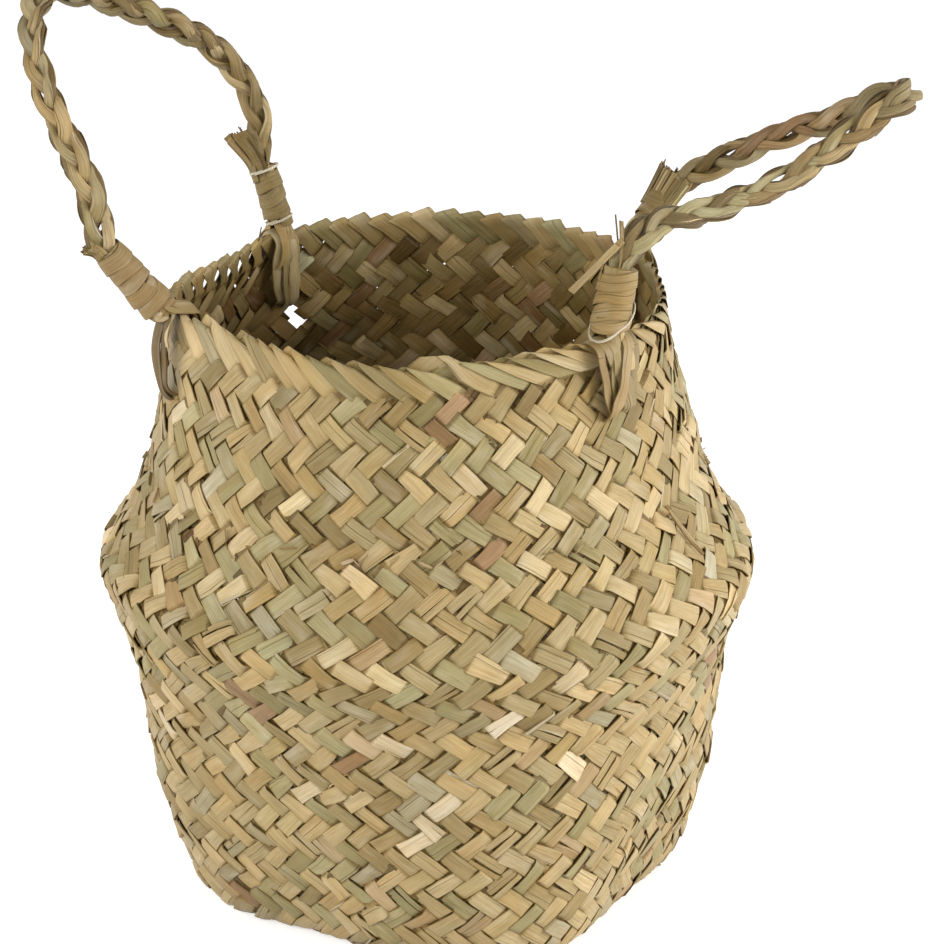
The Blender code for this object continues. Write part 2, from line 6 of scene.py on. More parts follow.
import bpy
import numpy as np
from bpy.props import FloatProperty, FloatVectorProperty, IntProperty, PointerProperty
from bpy.types import Operator, Panel, PropertyGroup
from mathutils import Matrix, Vector


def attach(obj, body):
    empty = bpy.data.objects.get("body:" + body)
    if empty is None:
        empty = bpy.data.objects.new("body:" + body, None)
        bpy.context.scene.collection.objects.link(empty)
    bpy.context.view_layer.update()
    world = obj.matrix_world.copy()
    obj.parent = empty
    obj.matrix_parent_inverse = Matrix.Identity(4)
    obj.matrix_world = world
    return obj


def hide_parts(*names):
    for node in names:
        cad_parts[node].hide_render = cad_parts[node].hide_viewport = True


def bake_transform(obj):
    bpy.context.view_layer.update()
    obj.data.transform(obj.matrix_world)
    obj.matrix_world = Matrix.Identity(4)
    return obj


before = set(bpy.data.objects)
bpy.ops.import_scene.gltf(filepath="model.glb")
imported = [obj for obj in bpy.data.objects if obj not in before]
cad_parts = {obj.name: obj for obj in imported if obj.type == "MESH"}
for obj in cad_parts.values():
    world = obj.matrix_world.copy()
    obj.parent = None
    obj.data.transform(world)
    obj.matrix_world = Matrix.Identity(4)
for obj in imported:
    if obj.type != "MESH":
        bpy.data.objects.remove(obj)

bl_info = {
    "name": "Belly basket",
    "version": (1, 0, 0),
    "blender": (4, 5, 0),
    "location": "3D View > Sidebar > Basket",
    "description": "Lays the leaves, rim, handles and bindings of a plaited belly basket",
    "category": "Object",
}

# The body, in metres, as the solids have it
BELLY_RADIUS = 0.110
HEIGHT = 0.2108
WALL = 0.0024
RADIUS_SHARES = (
    0.69, 0.72, 0.74, 0.79, 0.84, 0.87, 0.90, 0.935, 0.975,
    1.005, 0.997, 0.938, 0.886, 0.84, 0.815, 0.78, 0.76,
)
HEIGHT_SHARES = (
    0.0, 0.01, 0.04, 0.11, 0.205, 0.30, 0.39, 0.455, 0.505,
    0.555, 0.58, 0.615, 0.665, 0.725, 0.795, 0.885, 1.0,
)
BELLY_BOTTOM = 0.30 * HEIGHT
CREASE = 0.555 * HEIGHT
COLLAR_BOTTOM = 0.759 * HEIGHT
LEAN = -0.028
SQUARE = 0.086
SQUARE_TURN = math.radians(59.5)
SQUARE_FADE = 1.2
# Flats pulled into the rim: direction, depth, width
DENTS = (
    (150.0, 0.0115, 16.0), (224.0, 0.0085, 13.0), (112.0, 0.0045, 14.0), (292.0, 0.0035, 12.0),
    (0.0, 0.0032, 15.0),
)

# Rim and strap loops
RIM_HALF = 0.0031
LOOP_INNER = 0.0037
LOOP_OUTER = 0.0053
LOOP_DROP = 0.0270
JOINT_GAP = 0.0003

# Handle legs: direction on the rim, how far outward the foot sits, binding radius and length
LEGS = {
    "left_front": (199.0, 52.0, 0.0060, 0.0235),
    "left_back": (129.5, 12.0, 0.0045, 0.0170),
    "right_front": (317.0, 12.0, 0.0060, 0.0160),
    "right_back": (26.5, 22.0, 0.0048, 0.0155),
}
# Handle routes: reach outward, rise, and the points as shares of half span, reach and rise
ROUTES = {
    "left": (0.050, 0.092, (
        (-1.16, 0.30, 0.21), (-1.17, 0.32, 0.34), (-1.17, 0.43, 0.50), (-1.11, 0.65, 0.70),
        (-0.92, 0.83, 0.88), (-0.66, 0.91, 0.97), (-0.40, 0.88, 0.98), (0.03, 0.72, 0.90),
        (0.55, 0.46, 0.75), (0.89, 0.27, 0.59), (1.05, 0.14, 0.39), (1.03, 0.10, 0.17),
    )),
    "right": (0.092, 0.056, (
        (-0.95, 0.03, 0.31), (-0.90, 0.08, 0.43), (-0.82, 0.11, 0.47), (-0.69, 0.17, 0.50),
        (-0.42, 0.33, 0.52), (-0.18, 0.49, 0.58), (0.01, 0.65, 0.71), (0.22, 0.77, 0.83),
        (0.33, 0.89, 0.96), (0.38, 0.94, 1.00), (0.50, 0.96, 1.01), (0.60, 0.93, 0.99),
        (0.62, 0.88, 0.95), (0.67, 0.73, 0.82), (0.80, 0.56, 0.69), (0.88, 0.36, 0.53),
        (1.02, 0.19, 0.35), (1.07, 0.09, 0.25),
    )),
}
# Plait of the handles: radius, and the strands' sway and weave as shares of it
ROPE_RADIUS = 0.0054
PITCHES = {"left": 0.039, "right": 0.042}
SWAY_SHARE = 0.60
WEAVE_SHARE = 0.26
BINDING_WALL = 0.0011
FACE = (0.0, -0.93, 0.36)
UP = Vector((0, 0, 1))
# Dry leaf turns browner as it gets darker, and so does the painted shade on it: powers of brightness
# for red, green and blue
DEEPEN = np.array((0.85, 1.0, 1.48))
# Length of leaf that one unit of its map covers
GRAIN_LENGTH = 0.020


# Settings

def leaf_length(name, default, description):
    return FloatProperty(name=name, description=description, default=default, min=0.0, max=0.002,
                         unit="LENGTH", precision=5)


def leaf_share(name, default, description):
    return FloatProperty(name=name, description=description, default=default, min=0.0, max=1.2,
                         subtype="FACTOR")


def leaf_colour(name, default, description):
    return FloatVectorProperty(name=name, description=description, default=default, min=0, max=1,
                               subtype="COLOR")


def lamp_power(name, default, description):
    return FloatProperty(name=name, description=description, default=default, min=0, max=200)


class WeaveSizes(PropertyGroup):
    strips: IntProperty(
        name="Strips", description="Leaf strips that lean each way round the body",
        default=64, min=24, max=96)
    leaf: leaf_length("Leaf thickness", 0.00040, "Thickness of one leaf strip")
    lift: leaf_length("Lift", 0.00066, "How far a leaf on top stands off the middle of the wall")
    crown: leaf_length("Crown", 0.00020, "How much higher the middle of a leaf is than its edges")
    fill: leaf_share("Fill", 0.965, "Leaf width as a share of the room between two strips")
    drift: leaf_share("Drift", 0.045, "How much the rows climb to the right")


class LeafColours(PropertyGroup):
    straw: leaf_colour("Straw", (0.428, 0.318, 0.148), "Most of the dry leaf")
    khaki: leaf_colour("Khaki", (0.326, 0.245, 0.108), "Duller leaf")
    sage: leaf_colour("Sage", (0.315, 0.262, 0.118), "Leaf that dried green")
    grey: leaf_colour("Grey", (0.345, 0.283, 0.152), "Leaf that dried grey green")
    cream: leaf_colour("Cream", (0.60, 0.485, 0.300), "Bleached leaf")
    gold: leaf_colour("Gold", (0.430, 0.320, 0.138), "Yellow leaf")
    clay: leaf_colour("Clay", (0.290, 0.178, 0.083), "Reddish brown leaf")
    rose: leaf_colour("Rose", (0.415, 0.298, 0.152), "Pinkish tan leaf")


class StudioLight(PropertyGroup):
    sky: lamp_power("Sky", 0.46, "Strength of the light from all sides")
    key: lamp_power("Main lamp", 9.5, "Power of the large lamp above and in front")
    fill: lamp_power("Right lamp", 18.0, "Power of the lamp on the right")
    side: lamp_power("Left lamp", 6.0, "Power of the lamp on the left")


# Curves and directions

def ease(value):
    """A soft step from 0 to 1."""
    value = np.clip(value, 0, 1)
    return value * value * (3 - 2 * value)


def bell(degrees, centre, width, power=2):
    """1 at one direction on the rim, fading to 0 on both sides of it."""
    away = (degrees - centre + 180.0) % 360.0 - 180.0
    return np.exp(-0.5 * (away / width) ** power)


def smoothed(values, width):
    """The values with short waves taken out and the ends kept."""
    reach = int(width * 3)
    weights = np.exp(-0.5 * (np.arange(-reach, reach + 1) / width) ** 2)
    weights /= weights.sum()
    first = 2 * values[0] - values[1:reach + 1][::-1]
    last = 2 * values[-1] - values[-reach - 1:-1][::-1]
    return np.convolve(np.concatenate([first, values, last]), weights, "valid")


def unit(vectors):
    """Each vector at length one."""
    return vectors / np.maximum(np.linalg.norm(vectors, axis=-1, keepdims=True), 1e-12)


def run_along(path):
    """How far along a path each of its points is."""
    return np.concatenate([[0], np.cumsum(np.linalg.norm(np.diff(path, axis=0), axis=1))])


def around(angle, first, second):
    """Directions at angles from the first direction towards the second."""
    return np.cos(angle)[:, None] * first + np.sin(angle)[:, None] * second


# Shape of the wall

# Middle of the underside, and where it ends before the wall begins
FLOOR_RISE, FLOOR_START, FLOOR_END = 0.0013, 0.0610, 0.0735


def wall_line():
    """Middle of the wall as radius and height against the way up it, from under the foot."""
    rise = np.array([share * HEIGHT for share in HEIGHT_SHARES])
    reach = np.array([share * BELLY_RADIUS for share in RADIUS_SHARES]) - WALL / 2
    rise = np.concatenate([[FLOOR_RISE, FLOOR_RISE], rise[1:]])
    reach = np.concatenate([[FLOOR_START, FLOOR_END], reach[1:]])
    rise[2] += WALL / 2
    run = np.concatenate([[0], np.cumsum(np.hypot(np.diff(rise), np.diff(reach)))])
    way = np.arange(0, run[-1], 0.0005)
    return way, *(smoothed(np.interp(way, run, line), 3.0) for line in (reach, rise))


WAY, LINE_REACH, LINE_RISE = wall_line()


def way_at(height):
    """How far up the wall's line a height is."""
    return float(np.interp(height, LINE_RISE[30:], WAY[30:]))


# Room that one row of leaves takes up the wall
ROW_HEIGHTS = (0.0, 0.02, 0.06, 0.11, 0.13, 0.16, 0.21)
ROW_ROOMS = (0.0088, 0.0084, 0.0079, 0.0073, 0.0073, 0.0076, 0.0078)
ROW_STEP = np.interp(LINE_RISE, ROW_HEIGHTS, ROW_ROOMS)
ROWS = np.concatenate([[0], np.cumsum(np.diff(WAY) / (0.5 * (ROW_STEP[1:] + ROW_STEP[:-1])))])
# An even number of rows ends at the crease of the rim, so that the folds continue the plaiting
ROW_COUNT = 2 * round(ROWS[-1] / 2)
ROWS *= ROW_COUNT / ROWS[-1]
TOP_ROW = ROW_COUNT - 2
TOP_ROOM = ROW_ROOMS[-1]


def wall_place(turn, way, out):
    """Point of the wall at a turn and a way up it, out from its middle."""
    way = np.clip(way, 0, WAY[-1] + 0.004)
    reach = np.interp(way, WAY, LINE_REACH)
    rise = np.interp(way, WAY, LINE_RISE) + np.maximum(way - WAY[-1], 0)
    slope_reach, slope_rise = (
        np.interp(way + 0.001, WAY, line) - np.interp(way - 0.001, WAY, line)
        for line in (LINE_REACH, LINE_RISE))
    steep = np.maximum(np.hypot(slope_reach, slope_rise), 1e-9)
    reach = reach + out * slope_rise / steep
    rise = np.maximum(rise - out * slope_reach / steep, 0.0001)
    fade = np.clip(1.0 - rise / CREASE, 0, 1) ** SQUARE_FADE
    factor = 1.0 - SQUARE * fade * np.cos(4 * (turn - SQUARE_TURN))
    ramp = np.clip((rise - COLLAR_BOTTOM) / (HEIGHT - COLLAR_BOTTOM), 0, 1)
    dent = sum(depth * bell(np.degrees(turn), centre, width) for centre, depth, width in DENTS)
    full = reach * factor - ramp * dent
    full = full + 0.0004 * np.sin(5 * turn + 40 * rise) + 0.0003 * np.sin(9 * turn - 70 * rise)
    return np.stack([full * np.cos(turn) + LEAN * rise, full * np.sin(turn), rise], -1)


def lattice_place(sizes, across, row, out):
    """Point of the wall for a place in the plaiting: strips round, rows up, out from the middle."""
    turn = across * math.tau / sizes.strips
    way = np.interp(row, ROWS, WAY) + np.maximum(row - ROW_COUNT, 0) * TOP_ROOM
    rise = np.interp(way, WAY, LINE_RISE)
    fade = np.clip(np.minimum(rise / 0.05, (HEIGHT - rise) / 0.05), 0, 1)
    way = way + sizes.drift * fade * np.interp(way, WAY, LINE_REACH) * np.cos(turn)
    way = way + 0.0007 * fade * np.sin(3 * turn + 0.9 * row)
    return wall_place(turn, way, out)


# Leaves and their colours

class Leaves:
    """Leaves that are laid one by one and become one mesh."""

    def __init__(self):
        self.points, self.faces, self.tones, self.places, self.shades = [], [], [], [], []
        self.count = 0

    def add(self, points, faces, tones, places, shade=1.0):
        self.points.append(points)
        self.faces.append(faces + self.count)
        self.tones.append(np.broadcast_to(tones, (len(points), 4)))
        self.places.append(places)
        self.shades.append(np.broadcast_to(shade, len(points)))
        self.count += len(points)

    def build(self, name, material):
        points, tones, places, shades = (
            np.concatenate(part).astype(np.float32)
            for part in (self.points, self.tones, self.places, self.shades))
        faces = np.concatenate(self.faces).astype(np.int32)
        mesh = bpy.data.meshes.new(name)
        mesh.vertices.add(len(points))
        mesh.vertices.foreach_set("co", points.ravel())
        mesh.loops.add(faces.size)
        mesh.loops.foreach_set("vertex_index", faces.ravel())
        mesh.polygons.add(len(faces))
        mesh.polygons.foreach_set("loop_start", np.arange(0, faces.size, 4, dtype=np.int32))
        tone = mesh.color_attributes.new("leaf_tone", "FLOAT_COLOR", "POINT")
        tone.data.foreach_set("color", tones.ravel())
        shade = mesh.attributes.new("leaf_shade", "FLOAT", "POINT")
        shade.data.foreach_set("value", shades)
        layer = mesh.uv_layers.new(name="leaf_grain")
        layer.data.foreach_set("uv", places[faces.ravel()].ravel())
        mesh.update(calc_edges=True)
        mesh.validate()
        mesh.shade_smooth()
        mesh.set_sharp_from_angle(angle=math.radians(48))
        piece = bpy.data.objects.new(name, mesh)
        bpy.context.scene.collection.objects.link(piece)
        mesh.materials.append(material)
        return piece


PATTERNS = {}


def pattern(steps, columns):
    """One flat leaf, modelled once: corners from -1 to 1 along, across and through, and faces."""
    if (steps, columns) not in PATTERNS:
        bpy.ops.object.select_all(action="DESELECT")
        bpy.ops.mesh.primitive_grid_add(x_subdivisions=steps, y_subdivisions=columns, size=2)
        leaf = bpy.context.object
        wall = leaf.modifiers.new("thickness", "SOLIDIFY")
        wall.thickness = 2.0
        wall.offset = 0.0
        bpy.ops.object.modifier_apply(modifier="thickness")
        mesh = leaf.data
        PATTERNS[steps, columns] = (
            np.array([corner.co for corner in mesh.vertices], float),
            np.array([face.vertices[:] for face in mesh.polygons], int))
        bpy.data.objects.remove(leaf)
        bpy.data.meshes.remove(mesh)
    return PATTERNS[steps, columns]


def grain_map(run, corners, seed):
    """Each corner's place on the leaf's map, along it and across."""
    return np.stack([run / GRAIN_LENGTH + seed, 0.5 + corners[:, 1] / 2], -1)


# How often each leaf colour comes
PALETTE = {
    "straw": 0.34, "khaki": 0.26, "sage": 0.15, "grey": 0.09, "cream": 0.032, "gold": 0.05,
    "clay": 0.012, "rose": 0.035,
}
# How much more or less often each comes inside, and on the more even lower wall
INSIDE = (1.0, 1.5, 1.0, 0.6, 0.3, 1.6, 5.0, 2.0)
LOWER = (1.6, 0.8, 0.9, 0.7, 0.5, 1.0, 0.7, 1.0)
EVEN_HEIGHT = 0.088


def pick(draw, extra=None, light=1.0, spread=0.16):
    """One leaf's colour, with its own seed as the fourth value."""
    colours = bpy.context.scene.basket_leaf_colours
    weights = [share * (extra[index] if extra else 1.0)
               for index, share in enumerate(PALETTE.values())]
    colour = np.array(draw.choices([getattr(colours, name)[:] for name in PALETTE], weights)[0])
    bright = light * math.exp(draw.gauss(0, spread))
    warm = draw.gauss(0, 0.012)
    colour = colour * bright ** DEEPEN * np.array([1 + warm, 1.0, 1 - 1.6 * warm])
    return np.array([*np.clip(colour, 0.01, 0.9), draw.random()])


# Plaiting

def lay_float(work, draw, across, row, family, side, tone, part=(-1.0, 1.0), offset=0.0, loose=1.0):
    """Lays one leaf where it shows; part is the share of the strip's width that it takes."""
    sizes = bpy.context.scene.basket_weave_sizes
    corners, faces = pattern(8, 4) if side > 0 else pattern(6, 3)
    if side < 0:
        faces = faces[:, ::-1]
    step = 0.01
    spots = lattice_place(
        sizes, across + np.array([-step, step, 0, 0]), row + np.array([0, 0, -step, step]),
        np.zeros(4))
    room_round, room_up = (
        np.linalg.norm(spots[end + 1] - spots[end]) / (2 * step) for end in (0, 2))
    cell = math.hypot(room_round / 2, room_up / 2)
    ahead = np.array([family * room_round / 2, room_up / 2]) / cell
    beside = np.array([-ahead[1], ahead[0]])
    full = room_round * abs(ahead[1]) * (1.03 if side < 0 else sizes.fill)
    low, high = (edge * full / 2 * draw.gauss(1.0, 0.05) for edge in part)
    twist, shift, rise, lean, pitch = (
        draw.gauss(0, size) * loose for size in (0.052, 0.00026, 0.00012, 0.00036, 0.00034))
    lift = sizes.lift + offset + rise
    crown = sizes.crown * draw.uniform(-0.3, 1.5)
    bow, narrow, swerve = (draw.gauss(0, size) * loose for size in (0.07, 0.08, 0.00018))
    ends = draw.uniform(0.76, 0.92), draw.uniform(0.76, 0.92)
    along = np.sign(corners[:, 0]) * np.interp(
        np.abs(corners[:, 0]), (0, 0.25, 0.5, 0.75, 1.0), (0, 0.54, 0.68, 0.79, 1.0))
    along = along * cell * 1.30
    part_along = along / cell
    off = low + (corners[:, 1] + 1) / 2 * (high - low)
    off = off * (1 + bow * (part_along ** 2 - 0.4) + narrow * part_along) + shift + twist * along
    off = off + swerve * (part_along ** 2 - 0.4)
    dive = ease((np.abs(part_along) - np.where(along < 0, *ends)) / 0.22)
    across_share = off / (full / 2)
    top = lift + crown * (1 - across_share ** 2) + lean * across_share + pitch * part_along
    out = side * (top * (1 - dive) - 0.00010 * dive + corners[:, 2] * sizes.leaf / 2)
    flat = along[:, None] * ahead + off[:, None] * beside
    points = lattice_place(sizes, across + flat[:, 0] / room_round, row + flat[:, 1] / room_up, out)
    # Painted shade: the ends where the leaf dives under the leaves across it are darkened
    shade = 1.0 - 0.80 * ease((np.abs(part_along) - 0.91) / 0.15)
    work.add(points, faces, tone, grain_map(along, corners, 7.3 * across + 3.1 * row), shade)


# Leaves left out where the wall has a hole: row, side and number
GAPS = {(26, 1, 60), (26, -1, 48), (25, 1, 47), (25, -1, 60)}
# Share of the leaves outside that are split along, and with those that have a pale edge
SPLIT, EDGED = 0.10, 0.14


def lay_row(work, draw, row, family, side, light, loose, colours, spread):
    """Lays one row of leaves all round; side is 1 on the outside and -1 inside."""
    strips = bpy.context.scene.basket_weave_sizes.strips
    centre_row = row + 0.25
    for index in range(strips):
        if (row, side, index) in GAPS:
            continue
        across = (index + (centre_row if family > 0 else -centre_row)) % strips
        lay = partial(lay_float, work, draw, across, centre_row, family, side)
        tone = pick(draw, colours, light, spread)
        chance = draw.random()
        if side > 0 and chance < SPLIT:
            split = draw.uniform(-0.35, 0.35)
            lay(tone, (-1.0, split - 0.03))
            lay(tone * np.array([1.0, 1.0, 1.0, 0.5]) * draw.uniform(0.85, 1.1), (split + 0.03, 1.0))
            continue
        lay(tone, loose=loose)
        # A pale edge, partly the leaf's curled pale underside and partly a painted highlight
        if side > 0 and chance < EDGED:
            edge = draw.choice((-1.0, 1.0))
            pale = np.array([0.52, 0.44, 0.28, draw.random()]) * draw.uniform(0.8, 1.1)
            lay(pale, sorted((edge * 0.66, edge)), 0.00018, 0.8)


def rows_between(low, high):
    """Numbers of the rows whose middle is between two heights."""
    return range(*(math.ceil(np.interp(way_at(height), WAY, ROWS) - 0.25) for height in (low, high)))


# Where the upper wall has been folded in and out often: its height and its row
FOLD_HEIGHT = 0.150
FOLD_ROW = 22
# Torn ends on the fold: turn and slope in degrees, length, width and brightness
SPLINTERS = (
    (255.0, 24.0, 0.0042, 0.0014, 1.45), (256.6, -38.0, 0.0034, 0.0008, 1.15),
    (270.0, -24.0, 0.0044, 0.0012, 1.40), (272.4, 40.0, 0.0036, 0.0008, 1.20),
    (228.0, -60.0, 0.0060, 0.0008, 1.35), (301.0, 40.0, 0.0040, 0.0008, 1.30),
)
# A long loose stem on the right: slope in degrees, length, width and brightness of its parts
STEM = ((-68, 0.0225, 0.0011, 0.55), (-66, 0.0190, 0.0005, 1.4))
STEM_TURN, STEM_HEIGHT = 328.5, 0.1425


def lay_fibre(work, turn, way, slope, length, width, tone, out):
    """Lays a loose fibre or splinter on the outside of the wall, from its middle."""
    part = np.linspace(-0.5, 0.5, 7) * length
    slope = math.radians(slope)
    turns = turn + part * math.cos(slope) / float(np.interp(way, WAY, LINE_REACH))
    path = wall_place(turns, way + part * math.sin(slope), out + 0.0007 * part / length)
    face = np.stack([np.cos(turns), np.sin(turns), 0.25 + 0 * turns], -1)
    lay_strip(work, path, face, width * np.array([0.7, 0.9, 1, 0.9, 1, 0.8, 0.55]), 0.0003, tone,
              columns=2, seed=turn * 7, tilt=0.0004)


def plait(name, rows, seed, light):
    """Plaits a band of the wall, outside and inside."""
    work = Leaves()
    draw = random.Random(seed)
    even_row = np.interp(way_at(EVEN_HEIGHT), WAY, ROWS)
    for row in rows:
        family = 1 if row % 2 == 0 else -1
        loose = 1.35 if row in (FOLD_ROW - 1, FOLD_ROW) and name == "shoulder" else 1.0
        colours, spread = (LOWER, 0.10) if row < even_row else (None, 0.18)
        lay_row(work, draw, row, family, 1, light, loose, colours, spread)
        # The inside leaves are painted darker, as painted shade inside the basket
        lay_row(work, draw, row, -family, -1, 0.60, 1.0, INSIDE, 0.36)
    if name == "shoulder":
        lay_worn_fold(work, draw)
    return work.build(name + "_leaves", leaf_material(name + "_leaf"))


def lay_worn_fold(work, draw):
    """Lays the stem, the pale torn ends and the loose fibres on the worn fold."""
    for slope, length, width, tint in STEM:
        tone = pick(draw, (1, 1, 0, 0, 0, 0, 0, 5), tint, 0.02)
        lay_fibre(work, math.radians(STEM_TURN), way_at(STEM_HEIGHT), slope, length, width, tone,
                  0.0022 + 0.0004 * tint)
    for degrees, slope, length, width, tint in SPLINTERS:
        tone = pick(draw, (0, 0, 0, 0, 1, 0, 0, 12), tint, 0.04)
        lay_fibre(work, math.radians(degrees), way_at(FOLD_HEIGHT - 0.0006), slope, length, width,
                  tone, 0.0018)
    for _ in range(30):
        lay_fibre(work, draw.uniform(0, math.tau), way_at(FOLD_HEIGHT) + draw.gauss(0, 0.0008),
                  draw.gauss(0, 40), draw.uniform(0.0035, 0.0070), draw.uniform(0.0003, 0.0008),
                  pick(draw, (1, 1, 0, 0.5, 3, 0, 1, 3), 1.0, 0.20), 0.0017)


# Strips, strands and tubes

def lay_strip(work, path, face, width, thick, tone, crown=0.0, columns=3, seed=0.0, tilt=0.0):
    """Lays one long leaf along a path, with its face turned to the given directions."""
    path = np.array(path, float)
    steps = len(path) - 1
    corners, faces = pattern(steps, columns)
    ahead = unit(np.gradient(path, axis=0))
    face = unit(np.broadcast_to(np.array(face, float), path.shape))
    beside = unit(np.cross(face, ahead))
    face = np.cross(ahead, beside)
    width = np.broadcast_to(np.asarray(width, float), (len(path),))
    place = np.rint((corners[:, 0] + 1) / 2 * steps).astype(int)
    across = corners[:, 1] * width[place] / 2
    off = crown * (1 - corners[:, 1] ** 2) + tilt * corners[:, 1] + corners[:, 2] * thick / 2
    points = path[place] + beside[place] * across[:, None] + face[place] * off[:, None]
    work.add(points, faces, tone, grain_map(run_along(path)[place], corners, seed))


def ring_faces(rings, sides):
    """Faces of a tube through rings of corners, with both ends closed by narrow faces."""
    corner = np.arange(sides)[None, :]
    index, after = (
        np.arange(rings - 1)[:, None] * sides + place for place in (corner, (corner + 1) % sides))
    body = np.stack([index, after, after + sides, index + sides], -1).reshape(-1, 4)
    caps = []
    for place in range(sides // 2 - 1):
        low = [place, place + 1, sides - 2 - place, sides - 1 - place]
        caps.append(low[::-1])
        caps.append([(rings - 1) * sides + corner for corner in low])
    return np.concatenate([body, np.array(caps, int)])


def lay_tube(work, path, first, second, outline, tone, seed=0.0):
    """Lays a closed body along a path; outline gives each ring's corners on the two directions."""
    rings, sides = outline.shape[:2]
    first, second = (np.broadcast_to(way, path.shape)[:, None, :] for way in (first, second))
    points = path[:, None, :] + outline[:, :, :1] * first + outline[:, :, 1:] * second
    turn = np.abs(np.linspace(-1, 1, sides, endpoint=False))
    grain = np.stack([np.repeat(run_along(path) / GRAIN_LENGTH + seed, sides),
                      np.tile(0.04 + 0.92 * turn, rings)], -1)
    work.add(points.reshape(-1, 3), ring_faces(rings, sides), tone, grain)


def steady_frame(path):
    """Two directions square to a path that turn as little as they can along it."""
    ahead = unit(np.gradient(path, axis=0))
    first = np.zeros_like(path)
    start = np.cross(ahead[0], (0.0, 0.0, 1.0))
    if np.linalg.norm(start) < 0.1:
        start = np.cross(ahead[0], (0.0, 1.0, 0.0))
    first[0] = unit(start)
    for index in range(1, len(path)):
        first[index] = unit(first[index - 1] - ahead[index] * (first[index - 1] @ ahead[index]))
    return first, np.cross(ahead, first)


# Rim and handle geometry

def rim_frame(degrees):
    """Centre of the rim's rounded top, and the directions outward, up the wall and along it."""
    turn = math.radians(degrees)
    way_top = WAY[-1] - RIM_HALF

    def spot(angle, way):
        return Vector(wall_place(np.array(angle), np.array(way), np.array(0.0)))

    centre = spot(turn, way_top)
    up = (centre - spot(turn, way_top - LOOP_DROP / 2)).normalized()
    step = math.tau / 128
    along = (spot(turn + step, way_top) - spot(turn - step, way_top)).normalized()
    outward = along.cross(up).normalized()
    return centre, outward, up, up.cross(outward)


def rim_arrays(degrees):
    """The rim's centre and directions as arrays."""
    return (np.array(part) for part in rim_frame(degrees))


def foot_point(leg):
    """Centre of a leg's rounded foot, on the axis that its handle swings about."""
    degrees, seat, radius, _ = LEGS[leg]
    centre, outward, up, _ = rim_frame(degrees)
    away = LOOP_OUTER + JOINT_GAP + radius
    seat = math.radians(seat)
    return centre + outward * (away * math.sin(seat)) + up * (away * math.cos(seat))


def route_points(side):
    """The named places along one rope."""
    reach, rise, shares = ROUTES[side]
    front, back = foot_point(side + "_front"), foot_point(side + "_back")
    span = back - front
    span.z = 0
    half = span.length / 2
    along = span.normalized()
    outward = along.cross(UP)
    middle = (front + back) / 2
    if outward.dot(middle) < 0:
        outward = -outward
    return [
        middle + along * (first * half) + outward * (second * reach) + UP * (third * rise)
        for first, second, third in shares]


def leg_direction(leg):
    """The direction in which a leg leaves its foot."""
    side, end = leg.split("_")
    points = route_points(side)
    return (points[0 if end == "front" else -1] - foot_point(leg)).normalized()


def leg_axes(leg):
    """A leg's foot, its direction and two directions square to it."""
    foot, away = foot_point(leg), leg_direction(leg)
    turned = away.to_track_quat("Z", "Y").to_matrix()
    return tuple(np.array(part) for part in (foot, away, turned.col[0], turned.col[1]))


def handle_of(leg):
    """The body that a leg's pieces ride on."""
    return leg.split("_")[0] + "_handle"


def smooth_route(points, step):
    """A smooth line through the points, in equal steps."""
    points = [Vector(point) for point in points]
    padded = [points[0] * 2 - points[1]] + points + [points[-1] * 2 - points[-2]]
    fine = []
    for before, start, finish, after in zip(padded, padded[1:], padded[2:], padded[3:]):
        for index in range(12):
            part = index / 12
            fine.append(
                start * (1 - part) ** 2 * (1 + 2 * part)
                + finish * part ** 2 * (3 - 2 * part)
                + (finish - before) * (0.5 * part * (1 - part) ** 2)
                - (after - start) * (0.5 * part ** 2 * (1 - part)))
    fine.append(points[-1])
    line = np.array(fine)
    run = run_along(line)
    wanted = np.linspace(0, run[-1], max(int(round(run[-1] / step)), 3) + 1)
    return np.stack([np.interp(wanted, run, line[:, axis]) for axis in range(3)], -1)


def rope_route(side):
    """One rope's middle line, from inside its front binding to inside its back one."""
    ends = []
    for end in ("_front", "_back"):
        _, _, radius, length = LEGS[side + end]
        foot, away = foot_point(side + end), leg_direction(side + end)
        ends.append([foot + away * far
                     for far in (radius * 0.45, length * 0.6, length, length + 0.0017)])
    return smooth_route(ends[0] + route_points(side)[1:-1] + ends[1][::-1], 0.0012)


# Materials

def link_math(group, operation, first, second=None, third=None, clamp=False):
    """Adds a Math node; numbers are set and sockets are linked."""
    node = group.nodes.new("ShaderNodeMath")
    node.operation = operation
    node.use_clamp = clamp
    for place, value in enumerate((first, second, third)):
        if isinstance(value, (int, float)):
            node.inputs[place].default_value = value
        elif value is not None:
            group.links.new(value, node.inputs[place])
    return node.outputs[0]


def mixed_colour(group, share, first, second, blend="MIX"):
    """Mixes a socket's colour with a fixed one."""
    node = group.nodes.new("ShaderNodeMix")
    node.data_type = "RGBA"
    node.blend_type = blend
    node.inputs[7].default_value = second
    group.links.new(first, node.inputs[6])
    group.links.new(share, node.inputs[0])
    return node.outputs[2]


# Inputs and outputs of the grain group: name, kind, direction, then default, lowest and highest
SOCKETS = (
    ("Place", "Vector", "INPUT"), ("Leaf Colour", "Color", "INPUT", (0.5, 0.4, 0.2, 1)),
    ("Seed", "Float", "INPUT", 0.5, 0.0, 1.0), ("Shade", "Float", "INPUT", 1.0, 0.0, 1.0),
    ("Fibre Count", "Float", "INPUT", 11.0, 1.0, 60.0), ("Contrast", "Float", "INPUT", 0.5, 0.0, 2.0),
    ("Colour", "Color", "OUTPUT"), ("Height", "Float", "OUTPUT"), ("Roughness", "Float", "OUTPUT"),
)


